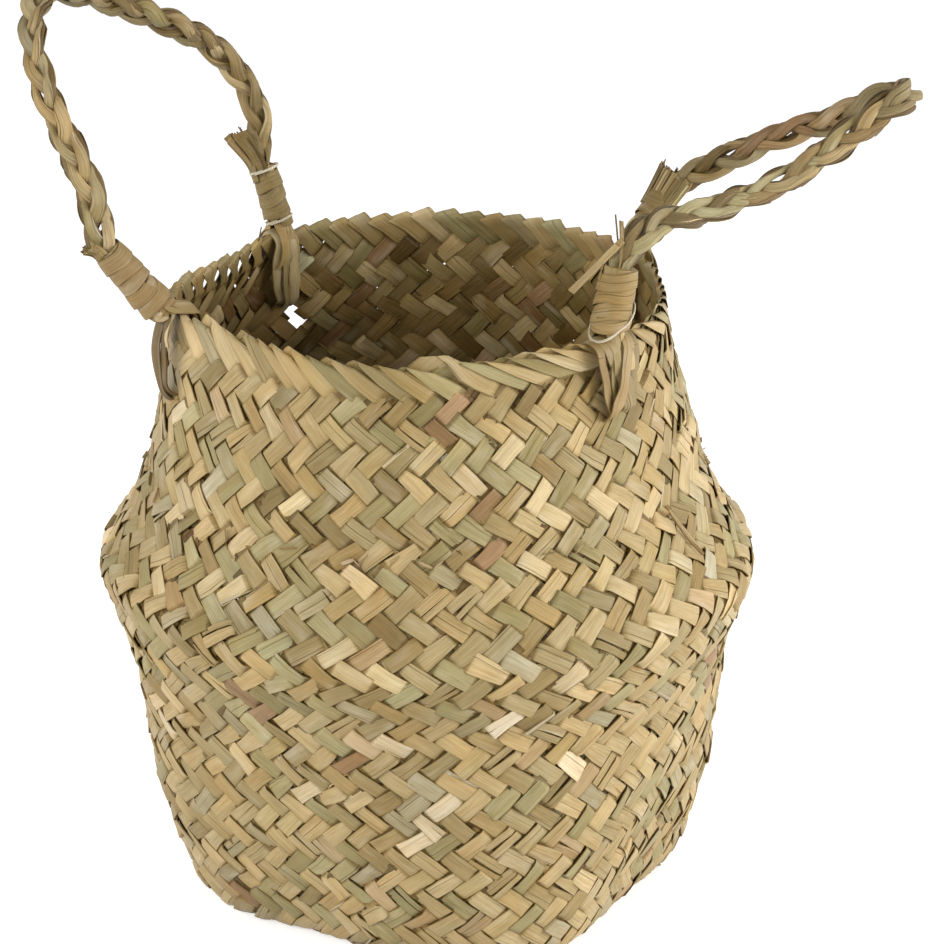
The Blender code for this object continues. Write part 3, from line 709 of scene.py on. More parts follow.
def leaf_grain_group():
    """Fibres, veins, blotches and one crease along a leaf, from its own map and seed, with painted
    shade at its edges, in the crease and where it dives under others, and pale patches of wear and
    painted sheen.
    """
    name = "leaf_grain"
    if name in bpy.data.node_groups:
        return bpy.data.node_groups[name]
    group = bpy.data.node_groups.new(name, "ShaderNodeTree")
    for title, kind, direction, *values in SOCKETS:
        socket = group.interface.new_socket(
            name=title, in_out=direction, socket_type="NodeSocket" + kind)
        if values:
            socket.default_value = values[0]
        if len(values) > 1:
            socket.min_value, socket.max_value = values[1:]
    given = group.nodes.new("NodeGroupInput").outputs
    result = group.nodes.new("NodeGroupOutput").inputs
    split = group.nodes.new("ShaderNodeSeparateXYZ")
    group.links.new(given["Place"], split.inputs[0])
    along, across = split.outputs["X"], split.outputs["Y"]
    calc = partial(link_math, group)
    seed = calc("MULTIPLY", given["Seed"], 91.0)

    def noise(scale_along, scale_across, detail, shift):
        spot = group.nodes.new("ShaderNodeCombineXYZ")
        group.links.new(calc("MULTIPLY", along, scale_along), spot.inputs["X"])
        group.links.new(calc("MULTIPLY", across, scale_across), spot.inputs["Y"])
        group.links.new(calc("ADD", seed, shift), spot.inputs["Z"])
        texture = group.nodes.new("ShaderNodeTexNoise")
        for title, value in (("Scale", 1.0), ("Detail", detail), ("Roughness", 0.6)):
            texture.inputs[title].default_value = value
        group.links.new(spot.outputs[0], texture.inputs["Vector"])
        return texture.outputs["Fac"]

    def past(value, start, steep):
        """0 up to a start, then rising steeply to 1."""
        return calc("MULTIPLY", calc("SUBTRACT", value, start), steep, clamp=True)

    def chance(factor):
        return calc("FRACT", calc("MULTIPLY", given["Seed"], factor))

    fibre = noise(1.1, given["Fibre Count"], 3.0, 0.0)
    fine = noise(2.5, 34.0, 2.0, 5.0)
    blotch = noise(1.6, 1.3, 2.0, 11.0)
    patch = noise(0.8, 0.5, 1.0, 23.0)
    wear_and_sheen = noise(0.9, 0.8, 2.0, 37.0)
    # One crease at its own place across the leaf, on some leaves, painted darker as painted shade in
    # the crease
    wander = calc("MULTIPLY", calc("SUBTRACT", blotch, 0.5), 0.16)
    away = calc("ABSOLUTE", calc("SUBTRACT", calc("ADD", across, wander), chance(17.3)))
    crease = calc("SUBTRACT", 1.0, calc("DIVIDE", away, 0.028), clamp=True)
    crease = calc("MULTIPLY", crease, calc("GREATER_THAN", chance(53.7), 0.62))
    # Painted shade of the crevices between leaves: the edges of the leaf are darkened
    edge = past(calc("ABSOLUTE", calc("SUBTRACT", across, 0.5)), 0.458, 24.0)

    contrast = given["Contrast"]
    light = calc("MULTIPLY_ADD", calc("SUBTRACT", fibre, 0.5), contrast, 1.0)
    light = calc("MULTIPLY_ADD", calc("SUBTRACT", fine, 0.5), calc("MULTIPLY", contrast, 0.75), light)
    light = calc("MULTIPLY_ADD", calc("SUBTRACT", blotch, 0.5), 0.62, light)
    light = calc("MULTIPLY_ADD", crease, -0.42, light)
    light = calc("MULTIPLY_ADD", edge, -0.48, light)
    # Painted shade from leaf_shade, where a leaf dives under others or tucks in
    shade = calc("MULTIPLY_ADD", given["Shade"], 0.76, 0.24)
    light = calc("MAXIMUM", calc("MULTIPLY", light, shade), 0.02)
    # Warmer patches, and pale patches that are partly worn skin of the leaf and partly painted sheen
    colour = mixed_colour(group, past(patch, 0.42, 2.6), given["Leaf Colour"],
                          (1.07, 0.96, 0.80, 1.0), "MULTIPLY")
    colour = mixed_colour(group, calc("MULTIPLY", past(wear_and_sheen, 0.57, 5.0), 0.34), colour,
                          (0.60, 0.52, 0.38, 1.0))
    # The leaf's own brightness and the painted shade both turn browner as they darken
    deep = group.nodes.new("ShaderNodeCombineXYZ")
    for socket, power in zip(deep.inputs, DEEPEN):
        group.links.new(calc("POWER", light, float(power)), socket)
    shaded = group.nodes.new("ShaderNodeVectorMath")
    shaded.operation = "MULTIPLY"
    group.links.new(colour, shaded.inputs[0])
    group.links.new(deep.outputs[0], shaded.inputs[1])
    group.links.new(shaded.outputs[0], result["Colour"])
    height = calc("MULTIPLY_ADD", crease, -0.9, calc("MULTIPLY_ADD", fine, 0.45, fibre))
    group.links.new(height, result["Height"])
    group.links.new(calc("MULTIPLY_ADD", fibre, 0.30, 0.36), result["Roughness"])
    return group


def leaf_material(name, fibres=9.0, contrast=0.80, depth=0.00036, gloss=0.28):
    """Dry leaf with the grain group, its own strength of fibre and relief."""
    surface = bpy.data.materials.new(name)
    surface.use_nodes = True
    tree = surface.node_tree
    shader = tree.nodes["Principled BSDF"].inputs
    shader["Specular IOR Level"].default_value = gloss
    tone = tree.nodes.new("ShaderNodeVertexColor")
    tone.layer_name = "leaf_tone"
    place = tree.nodes.new("ShaderNodeUVMap")
    place.uv_map = "leaf_grain"
    shade = tree.nodes.new("ShaderNodeAttribute")
    shade.attribute_name = "leaf_shade"
    grain = tree.nodes.new("ShaderNodeGroup")
    grain.node_tree = leaf_grain_group()
    grain.inputs["Fibre Count"].default_value = fibres
    grain.inputs["Contrast"].default_value = contrast
    bump = tree.nodes.new("ShaderNodeBump")
    bump.inputs["Strength"].default_value = 0.8
    bump.inputs["Distance"].default_value = depth
    for source, target in (
            (place.outputs["UV"], grain.inputs["Place"]),
            (tone.outputs["Color"], grain.inputs["Leaf Colour"]),
            (tone.outputs["Alpha"], grain.inputs["Seed"]),
            (shade.outputs["Fac"], grain.inputs["Shade"]),
            (grain.outputs["Colour"], shader["Base Color"]),
            (grain.outputs["Roughness"], shader["Roughness"]),
            (grain.outputs["Height"], bump.inputs["Height"]),
            (bump.outputs["Normal"], shader["Normal"])):
        tree.links.new(source, target)
    return surface


# Steps of the build

def finish_piece(piece, body, node):
    """Hides the solid that a piece stands for, and hangs the piece on the body it rides on."""
    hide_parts(node)
    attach(piece, body)


class Step:
    """What the operators share: each makes its pieces, then it is finished."""

    def execute(self, context):
        self.make(context.scene)
        return {"FINISHED"}


# Underside: room of a strip, strips each way from the middle, where it ends and its height
BASE_ROOM, BASE_COUNT, BASE_REACH, BASE_RISE = 0.0062, 13, 0.0632, 0.0015


class BASKET_OT_base(Step, Operator):
    """Plaits the flat underside from two ways of strips"""
    bl_idname = "basket.base"
    bl_label = "Base"

    def make(self, scene):
        work = Leaves()
        draw = random.Random(11)
        corners, faces = pattern(6, 3)
        half_leaf = scene.basket_weave_sizes.leaf / 2
        for side, family in product((1, -1), (0, 1)):
            turn = math.radians(14.5) + family * math.pi / 2
            ahead = np.array([math.cos(turn), math.sin(turn)])
            beside = np.array([-ahead[1], ahead[0]])
            on_top = 0 if (side > 0) == (family == 0) else 2
            for strip, cell in product(range(-BASE_COUNT, BASE_COUNT + 1), repeat=2):
                if (cell - strip if family == 0 else strip + cell) % 4 != on_top:
                    continue
                tone = pick(draw, light=0.82)
                middle = ahead * (BASE_ROOM * (cell + 0.5)) + beside * (BASE_ROOM * strip)
                angle = math.atan2(middle[1], middle[0])
                limit = BASE_REACH * (1 - SQUARE * math.cos(4 * (angle - SQUARE_TURN)))
                if math.hypot(*middle) > limit:
                    continue
                along = corners[:, 0] * BASE_ROOM * 1.45
                off = corners[:, 1] * BASE_ROOM * 0.49
                stay = 1 - ease((np.abs(along) / BASE_ROOM - 0.70) / 0.5)
                level = 0.00055 * stay + 0.00012 * (1 - corners[:, 1] ** 2) * stay
                high = BASE_RISE + side * (level + corners[:, 2] * half_leaf)
                flat = middle + along[:, None] * ahead + off[:, None] * beside
                far = np.hypot(flat[:, 0], flat[:, 1])
                high = high + 0.0007 * ease((far - 0.055) / 0.01)
                work.add(np.column_stack([flat, high]), faces if side > 0 else faces[:, ::-1], tone,
                         grain_map(along, corners, strip + 5.1 * cell))
        piece = work.build("base_leaves", leaf_material("base_leaf", contrast=0.5))
        finish_piece(piece, "basket", "base_panel")


class BASKET_OT_lower(Step, Operator):
    """Plaits the lower wall, from under the foot up to the belly"""
    bl_idname = "basket.lower"
    bl_label = "Lower wall"

    def make(self, scene):
        # The lower wall's leaves are painted a little brighter: painted light where the light from
        # above falls off at the bottom
        piece = plait("lower", range(rows_between(0.0, BELLY_BOTTOM).stop), 21, 1.02)
        finish_piece(piece, "basket", "lower_wall")


class BASKET_OT_belly(Step, Operator):
    """Plaits the belly up to the crease"""
    bl_idname = "basket.belly"
    bl_label = "Belly"

    def make(self, scene):
        piece = plait("belly", rows_between(BELLY_BOTTOM, CREASE - 0.003), 22, 1.0)
        finish_piece(piece, "basket", "belly_wall")


class BASKET_OT_shoulder(Step, Operator):
    """Plaits the band above the crease"""
    bl_idname = "basket.shoulder"
    bl_label = "Shoulder"

    def make(self, scene):
        piece = plait("shoulder", rows_between(CREASE - 0.003, COLLAR_BOTTOM + 0.003), 23, 0.98)
        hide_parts("shoulder_band")
        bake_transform(piece)


class BASKET_OT_collar(Step, Operator):
    """Plaits the upper wall up to the rim"""
    bl_idname = "basket.collar"
    bl_label = "Upper wall"

    def make(self, scene):
        first = rows_between(COLLAR_BOTTOM + 0.003, HEIGHT).start
        piece = plait("collar", range(first, TOP_ROW + 1), 24, 0.93)
        finish_piece(piece, "collar", "upper_wall")


# Radius that the folds turn over the top with
BEND = 0.0009
# Folds that stand up more than their neighbours: number, then rise, width and lean
LIFTED = {49: (0.0046, 1.3, 1.7), 50: (0.0006, 1.4, 2.1), 38: (0.0018, 1.2, 1.2)}


def lay_fold(work, draw, across, tone, lean, width, down_out, down_in, rise, square, wrap):
    """Lays one strip end that comes up inside, turns flat over the top and goes down outside."""
    sizes = bpy.context.scene.basket_weave_sizes
    corners, faces = pattern(18, 4)
    run = np.interp(corners[:, 0], np.linspace(-1, 1, 19), np.concatenate([
        -np.array([1.0, 0.90, 0.80, 0.66, 0.50, 0.33]) * down_in,
        np.array([-1.0, -0.6, -0.2, 0.2, 0.6, 1.0]) * BEND * math.pi / 2,
        np.array([0.28, 0.46, 0.62, 0.76, 0.84, 0.92, 1.0]) * down_out]))
    share = np.abs(run) / np.where(run > 0, down_out, down_in)
    # The ends are cut square to the strip, so that the next leaf across crosses them evenly
    run = run - corners[:, 1] * width * TOP_ROOM / 4 * ease((share - 0.25) / 0.5) * square
    side = np.sign(run)
    deep = np.abs(run)
    arc = np.minimum(deep / BEND, math.pi / 2)
    reach = BEND + corners[:, 2] * sizes.leaf / 2
    out = side * reach * np.sin(arc)
    drop = reach * (1 - np.cos(arc)) + np.maximum(deep - BEND * math.pi / 2, 0)
    tuck = ease((share - 0.84) / 0.10)
    shingle = np.where(run > 0, -corners[:, 1], corners[:, 1]) * 0.00030
    out = out + side * np.sin(arc) * (shingle + draw.gauss(0, 0.00016) * share)
    out = out * (1 - tuck) + side * (-0.0001 + corners[:, 2] * sizes.leaf / 2) * tuck
    out = out + side * 0.00018 * (1 - corners[:, 1] ** 2) * np.sin(arc) * (1 - tuck)
    # Leaves that stand nearly upright leave drops of light between them
    slim = 1 - 0.44 * wrap * np.exp(-0.5 * ((deep - 0.0062) / 0.0016) ** 2)
    saw = -corners[:, 1] * (0.0010 + 0.6 * abs(rise)) + rise
    row = ROW_COUNT + (saw * (1 - np.minimum(deep / 0.006, 1)) - drop + 0.0001) / TOP_ROOM
    spots = across + corners[:, 1] * width * slim / 2 + run * lean / TOP_ROOM
    # Painted shade: the part inside the basket, and the ends where they tuck under the leaves across
    # them, are darkened
    inner = 1.0 - 0.40 * ease(-run / 0.003)
    work.add(lattice_place(sizes, spots, row, out), faces, tone,
             grain_map(run, corners, across * 3.3),
             inner * (1.0 - 0.75 * ease((share - 0.84) / 0.16)))


class BASKET_OT_rim(Step, Operator):
    """Folds the strip ends over the top, one after the other, as the rim"""
    bl_idname = "basket.rim"
    bl_label = "Rim"

    def make(self, scene):
        strips = scene.basket_weave_sizes.strips
        draw = random.Random(31)
        work = Leaves()
        for index in range(strips):
            turn = 360.0 * index / strips
            # Flat braided stretches, one of upright leaves, and the front
            braid = max(bell(turn, 300, 13.0), 0.75 * bell(turn, 350, 20.0, 4))
            wrap = bell(turn, 156, 20.0, 4)
            front = bell(turn, 238, 30.0, 4) * (1 - braid)
            lean = 1.0 + 1.3 * braid - 0.60 * wrap + 0.32 * front + draw.gauss(0, 0.06)
            width = 1.0 + 0.30 * braid + 0.08 * wrap + 0.16 * front + draw.gauss(0, 0.05)
            rise = draw.gauss(0, 0.0006)
            if index in LIFTED:
                rise, width, lean = LIFTED[index]
            lay_fold(work, draw, index + draw.gauss(0, 0.04), pick(draw, light=0.96), lean, width,
                     0.0105 - 0.0015 * braid - 0.0008 * wrap, 0.0108, rise, 1 - max(braid, wrap), wrap)
        # A dark hair that stands on the rim beside the back left leg
        centre, outward, up, along = rim_arrays(138.5)
        rise = np.linspace(0.0015, 0.0092, 7)[:, None]
        hair = centre + up * rise + along * 0.0004 * np.sin(rise * 300) - outward * 0.0006
        lay_strip(work, hair, outward, 0.00035, 0.0003, (0.10, 0.07, 0.04, 0.3), columns=2)
        piece = work.build("rim_folds", leaf_material("rim_fold_leaf", contrast=0.6))
        finish_piece(piece, "collar", "rim_edge")


def closed_loop(leg, radius):
    """The loop's way in even steps from its outer shoulder, and the direction each place faces."""
    centre, outward, up, along = rim_arrays(LEGS[leg][0])
    straight = LOOP_DROP - RIM_HALF - LOOP_OUTER
    arc = math.pi * radius
    points, faces = [], []
    for run in np.linspace(0, 2 * arc + 2 * straight, 61):
        if run < arc:
            angle, drop = run / radius, 0.0
        elif run < arc + straight:
            angle, drop = math.pi, run - arc
        elif run < 2 * arc + straight:
            angle, drop = (run - straight) / radius, straight
        else:
            angle, drop = math.tau, 2 * arc + 2 * straight - run
        side = outward * math.cos(angle) + up * math.sin(angle)
        points.append(centre + side * radius - up * drop)
        faces.append(side)
    return np.array(points), np.array(faces), along, up


# Strands of each strap: place along the rim at the top, half way down outside, at the bottom
# and half way down inside, then width, bulge outside, bulge inside, extra drop and brightness
STRANDS = {
    "left_front": (
        (-0.0020, -0.0022, -0.0004, -0.0020, 0.0030, 0.0046, 0.0004, 0.0036, 0.36),
        (0.0002, 0.0000, 0.0006, 0.0004, 0.0030, 0.0032, 0.0006, 0.0022, 0.33),
        (0.0022, 0.0022, 0.0014, 0.0022, 0.0028, 0.0018, 0.0003, 0.0006, 0.40),
    ),
    "left_back": (
        (0.0030, 0.0026, -0.0054, 0.0048, 0.0034, 0.0004, 0.0012, 0.0020, 1.32),
        (0.0010, 0.0008, -0.0060, 0.0014, 0.0034, 0.0008, 0.0022, 0.0026, 0.98),
        (-0.0010, -0.0010, -0.0064, -0.0022, 0.0034, 0.0006, 0.0024, 0.0022, 1.38),
        (-0.0032, -0.0028, -0.0070, -0.0060, 0.0034, 0.0004, 0.0012, 0.0014, 1.04),
    ),
    "right_front": (
        (-0.0086, -0.0078, -0.0050, -0.0030, 0.0044, 0.0006, 0.0003, -0.0010, 0.50),
        (-0.0064, -0.0008, 0.0044, -0.0024, 0.0054, 0.0013, 0.0004, -0.0022, 0.82),
        (0.0060, -0.0014, -0.0064, 0.0022, 0.0054, 0.0024, 0.0006, -0.0024, 0.68),
        (0.0072, 0.0050, 0.0014, -0.0006, 0.0046, 0.0008, 0.0003, -0.0036, 0.74),
        (-0.0020, -0.0040, -0.0036, 0.0004, 0.0040, 0.0004, 0.0003, -0.0016, 0.60),
    ),
    "right_back": (
        (-0.0018, -0.0020, -0.0010, -0.0022, 0.0034, 0.0006, 0.0008, 0.0, 0.85),
        (0.0002, 0.0004, 0.0000, 0.0004, 0.0034, 0.0010, 0.0010, 0.0, 0.78),
        (0.0020, 0.0022, 0.0010, 0.0022, 0.0030, 0.0005, 0.0006, 0.0, 0.90),
    ),
}
# Shares of a loop: outside, top, inside, bottom, then outside and top again
LOOP_KEYS = (-0.14, 0.13, 0.41, 0.63, 0.86, 1.13)


class BASKET_OT_loops(Step, Operator):
    """Winds the leaf strands that hold the handles over the rim and through the wall"""
    bl_idname = "basket.loops"
    bl_label = "Strap loops"

    def make(self, scene):
        for number, leg in enumerate(LEGS):
            draw = random.Random(41 + number)
            work = Leaves()
            for place, strand in enumerate(STRANDS[leg]):
                top, outer, bottom, inner, width, proud_out, proud_in, drop, light = strand
                path, face, along, up = closed_loop(
                    leg, LOOP_INNER + 0.0003 + 0.0004 * (place % 3))
                share = np.linspace(0, 1, len(path))
                sway = smoothed(np.interp(
                    share, LOOP_KEYS, (outer, top, inner, bottom, outer, top)), 4.0)
                proud = smoothed(np.interp(
                    share, LOOP_KEYS, (proud_out, 0.0, proud_in, 0.0, proud_out, 0.0)), 3.0)
                lower = drop * np.exp(-0.5 * ((share - LOOP_KEYS[3]) / 0.12) ** 2)
                path = (path + along * sway[:, None] + face * proud[:, None]
                        - up * lower[:, None] + along * 0.0003 * np.sin(share * 31 + place)[:, None])
                lay_strip(work, path, face, width * (1 + 0.12 * np.sin(share * 25 + place)), 0.0004,
                          pick(draw, (1, 1.3, 0.6, 0.6, 0, 0.3, 0.6, 1.5), light, 0.06),
                          crown=0.0005, seed=place * 4.1, tilt=0.0004 * (-1) ** place)
            piece = work.build(leg + "_loop_leaves", leaf_material(
                leg + "_loop_leaf", fibres=7.0, contrast=0.8, gloss=0.5))
            finish_piece(piece, "collar", leg + "_strap")


def lay_foot_strand(work, draw, leg, side, lane):
    """Leads one strand from a strap up round the foot of its leg and under the binding."""
    centre, outward, up, along = rim_arrays(LEGS[leg][0])
    foot, away, _, _ = leg_axes(leg)
    radius = LEGS[leg][2]
    wound = radius * WRAP_LOOK[leg][1]
    spread = draw.uniform(-0.3, 0.3)
    fan = (0.0018, 0.0026)[leg == "left_back" and side < 0]
    beside = unit(side * outward * 0.9 + along * (lane + spread) * 0.62)
    beside = unit(beside - away * (beside @ away))
    shoulder = unit(side * outward * 0.72 + up * 0.70)
    path = smooth_route([
        centre + side * outward * (LOOP_OUTER + 0.0003) - up * 0.0070 + along * lane * fan,
        centre + side * outward * (LOOP_OUTER + 0.0007) - up * 0.0030 + along * lane * 0.0017,
        centre + shoulder * (LOOP_OUTER + 0.0008) + along * lane * 0.0013,
        foot + beside * (radius * 0.68) - away * (radius * 0.62),
        foot + beside * (wound - 0.0009) - away * (radius * 0.10),
        foot + beside * (wound - 0.0012) + away * 0.0040,
    ], 0.0011)
    turn = ease((np.linspace(0, 1, len(path)) - 0.30) / 0.35)[:, None]
    lay_strip(work, path, side * outward * (1 - turn) + beside * turn,
              radius * draw.uniform(0.55, 0.75), 0.0004,
              pick(draw, light=draw.uniform(0.72, 1.0), spread=0.08),
              crown=0.0003, seed=lane * 3.3 + side, tilt=draw.uniform(-0.0003, 0.0003))


class BASKET_OT_feet(Step, Operator):
    """Leads strands from each strap up round the foot of its leg and under the binding"""
    bl_idname = "basket.feet"
    bl_label = "Foot strands"

    def make(self, scene):
        for number, leg in enumerate(LEGS):
            draw = random.Random(91 + number)
            work = Leaves()
            for side, lane in product((1, -1), (-1.5, -0.5, 0.5, 1.5)):
                lay_foot_strand(work, draw, leg, side, lane)
            piece = work.build(leg + "_foot_strands", leaf_material(
                leg + "_foot_leaf", fibres=8.0, contrast=0.75))
            centre, _, up, _ = rim_arrays(LEGS[leg][0])
            foot, away, _, _ = leg_axes(leg)
            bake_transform(piece)


# Brightness of the leaves of each handle
ROPE_LIGHT = {"left": 0.88, "right": 0.73}
# The brown stretch of the right handle, from its back end
BROWN_FROM, BROWN_TO = 0.088, 0.050
# Leaves on the faces of a strand: face, place across it and breadth
LANES = ((1, 0.0, 1.0), (-1, 0.0, 1.0), (1, 0.5, 0.34), (-1, -0.5, 0.34), (1, -0.45, 0.12),
         (-1, 0.3, 0.12))


def plait_frames(path):
    """Directions across the flat side of a plait and square to it."""
    ahead = unit(np.gradient(path, axis=0))
    wide = np.zeros_like(path)
    wide[0] = unit(np.cross(FACE, ahead[0]))
    for index in range(1, len(path)):
        wide[index] = unit(wide[index - 1] - ahead[index] * (wide[index - 1] @ ahead[index]))
    last = unit(np.cross(FACE, ahead[-1]))
    if last @ wide[-1] < 0:
        last = -last
    twist = math.atan2(np.cross(wide[-1], last) @ ahead[-1], wide[-1] @ last)
    angle = (twist * np.linspace(0, 1, len(path)))[:, None]
    wide = wide * np.cos(angle) + np.cross(ahead, wide) * np.sin(angle)
    return wide, np.cross(ahead, wide)


def rope_size(side, run, seed):
    """How thick the plait is along its run: thin in the bindings and drawn in at some places."""
    sizes = []
    for end, from_end in (("_front", run), ("_back", run[-1] - run)):
        _, _, radius, length = LEGS[side + end]
        small = (radius - BINDING_WALL - 0.0004) / ROPE_RADIUS
        sizes.append(small + (1 - small) * ease((from_end - length + 0.001) / 0.009))
    return np.minimum(*sizes) * (0.93 + 0.09 * np.sin(run / 0.021 + seed))


def lay_core(work, draw, centre, beside, face, half, deep, seed):
    """Lays the inside of one strand, painted dark as painted shade in the gaps between its leaves."""
    tone = pick(draw, (1, 1.5, 1.2, 1.2, 0, 0.3, 0.5, 0.5), 0.29, 0.05)
    turn = np.arange(12) * math.tau / 12
    fold = np.array([draw.uniform(0.85, 1.08) for _ in turn])
    outline = np.stack([np.cos(turn)[None, :] * fold * half[:, None] * 0.92,
                        np.sin(turn)[None, :] * fold * deep[:, None]], -1)
    lay_tube(work, centre, beside, face, outline, tone, seed=seed)


def lay_lane(work, draw, side, run, centre, beside, face, half, deep, size, look, lane, broad):
    """Lays leaves one after the other along one lane of a strand."""
    place = draw.randrange(0, 8)
    while place < len(run) - 10:
        if broad < 1:
            place += draw.randrange(10, 60)
        length = draw.randrange(26, 60) if broad == 1 else draw.randrange(10, 34)
        stop = min(place + length, len(run) - 1)
        part = slice(place, stop + 1)
        count = stop + 1 - place
        if count < 8:
            break
        sweep = lane + 0.14 * np.sin(
            run[part] / 0.009 + draw.uniform(0, 6)) + draw.uniform(-0.1, 0.1)
        width = half[part] * size[part] * broad * draw.uniform(1.30, 1.90)
        width = width * np.minimum(1, np.minimum(
            np.arange(count), np.arange(count)[::-1]) / 4 + 0.25)
        off = deep[part] * np.sqrt(1 - np.minimum(np.abs(sweep), 0.9) ** 2)
        off = off * size[part] + 0.0002 + 0.0002 * (1 - broad)
        path = (centre[part] + beside[part] * (sweep * half[part] * size[part])[:, None]
                + look * face[part] * off[:, None])
        # Grey and cream leaves come often, and the narrowest lanes are painted pale: partly pale leaf
        # edges and partly painted highlights on the plait
        tone = pick(draw, (1, 1.0, 1.3, 8.0, 3.0, 0.1, 0.4, 0.6),
                    ROPE_LIGHT[side] if broad > 0.2 else 1.7, 0.28)
        to_end = run[-1] - run[(place + stop) // 2]
        if side == "right" and BROWN_TO < to_end < BROWN_FROM:
            tone = pick(draw, (0, 0.4, 0, 0, 0, 0, 60, 3), 0.92, 0.08)
        lay_strip(work, path, look * face[part] + beside[part] * (0.55 * sweep)[:, None], width,
                  0.0003, tone, crown=0.00055 * broad, columns=4 if broad == 1 else 2,
                  seed=draw.uniform(0, 9), tilt=look * 0.00022)
        place = stop - 4


class BASKET_OT_ropes(Step, Operator):
    """Plaits three strands of folded leaf into each handle"""
    bl_idname = "basket.ropes"
    bl_label = "Handle ropes"

    def make(self, scene):
        for side, seed in (("left", 51), ("right", 52)):
            draw = random.Random(seed)
            work = Leaves()
            path = rope_route(side)
            wide, thick = plait_frames(path)
            run = run_along(path)
            size = rope_size(side, run, seed)
            for strand in range(3):
                wander = 0.30 * np.sin(run / 0.017 + strand * 2.1 + draw.uniform(0, 6))
                angle = math.tau * run / PITCHES[side] + math.tau * strand / 3 + wander
                sway = ROPE_RADIUS * SWAY_SHARE * np.sin(angle) * size
                weave = ROPE_RADIUS * WEAVE_SHARE * np.sin(2 * angle) * size
                centre = path + wide * sway[:, None] + thick * weave[:, None]
                ahead = unit(np.gradient(centre, axis=0))
                # The strand rolls over a little where it turns back at the side of the plait
                face = thick + wide * (0.55 * np.sin(angle) * np.cos(angle * 2))[:, None]
                beside = unit(np.cross(face, ahead))
                face = np.cross(ahead, beside)
                half = 0.0028 * (1 + 0.16 * np.sin(run / 0.0093 + 2 * strand) - 0.18 * np.abs(
                    np.sin(angle)))
                deep = 0.00130 * (1 + 0.18 * np.sin(run / 0.0061 + 3 * strand))
                lay_core(work, draw, centre, beside, face, half * size, deep * size, strand * 13.0)
                for lane in LANES:
                    lay_lane(work, draw, side, run, centre, beside, face, half, deep, size, *lane)
            piece = work.build(side + "_rope_strands", leaf_material(
                side + "_rope_leaf", fibres=9.0, contrast=1.4, depth=0.0006, gloss=0.42))
            finish_piece(piece, side + "_handle", side + "_handle_rope")


def sleeve_radius(leg, high, least=0.0):
    """Radius of the wound sleeve at a height above its foot's centre."""
    radius = LEGS[leg][2]
    low = np.clip(-high / radius, 0, 1)
    return radius * np.maximum(np.sqrt(1 - low ** 2), least)


# Brightness of the winding round each leg
WRAP_LIGHT = {"left_front": 0.63, "left_back": 0.61, "right_front": 0.60, "right_back": 0.56}
# Leaf colours of the winding, its width against the solid, and how far down the foot it goes
WRAP_LOOK = {
    "left_front": ((0.2, 0.3, 0, 0, 0, 0, 0, 9), 0.85, 0.52),
    "left_back": ((0.5, 1, 0, 3, 0, 0, 0, 2), 0.97, 0.45),
    "right_front": ((0.6, 1.5, 0, 2, 0, 0, 0, 4), 0.97, 0.54),
    "right_back": ((0, 1, 0, 0, 0, 0, 4, 2), 0.98, 0.45),
}


def lay_winding(work, leg, low, high, room, tone, start, proud):
    """Winds one long leaf round a leg between two heights."""
    foot, away, first, second = leg_axes(leg)
    turns = (high - low) / room
    part = np.linspace(0, 1, int(turns * 26) + 1)
    angle = part * turns * math.tau + start
    rise = low + (high - low) * part + 0.0005 * np.sin(angle * 0.37 + start)
    slope = 0.0010 * np.cos(angle + 1.3 + start) + 0.0004 * np.sin(angle * 2.3)
    spread = (sleeve_radius(leg, rise, 0.60) * WRAP_LOOK[leg][1] + 0.00005 + proud
              + 0.00012 * np.sin(angle * 1.3))
    # The sleeve is a little square, as folded leaves inside it are
    spread = spread * (1 + 0.035 * np.cos(3 * angle + 1.0) * np.cos(angle * 0.21))
    radial = around(angle, first, second)
    path = foot + radial * spread[:, None] + (rise + slope)[:, None] * away
    # The lowest turns bend inward with the rounded foot
    low = np.clip(-rise / LEGS[leg][2], 0, 0.8)[:, None]
    face = radial * np.sqrt(1 - low ** 2) - away * low
    width = room * 1.20 * (1 + 0.06 * np.sin(angle * 0.8)) * (1 - 0.25 * low[:, 0])
    lay_strip(work, path, face, width, 0.00035, tone, crown=0.00012, seed=start, tilt=-0.00034)


def lay_binding_core(work, draw, leg):
    """Lays the strands inside a winding as one body, down to the rounded foot."""
    foot, away, first, second = leg_axes(leg)
    _, _, radius, length = LEGS[leg]
    heights = np.concatenate([
        -radius * 0.93 * np.cos(np.linspace(0, math.pi / 2, 8)),
        np.linspace(0, length - 0.0004, 10)[1:]])
    turn = np.arange(20) * math.tau / 20
    spread = sleeve_radius(leg, heights) * WRAP_LOOK[leg][1] - 0.0006
    spread[0] = 0.0016
    ripple = np.sin(5 * turn + 1.0)
    folds = 1 + 0.05 * np.sign(ripple) * np.abs(ripple)
    outline = np.stack([spread[:, None] * folds * np.cos(turn),
                        spread[:, None] * folds * np.sin(turn)], -1)
    lay_tube(work, foot + heights[:, None] * away, first, second, outline, pick(draw, light=0.8),
             seed=2.0)


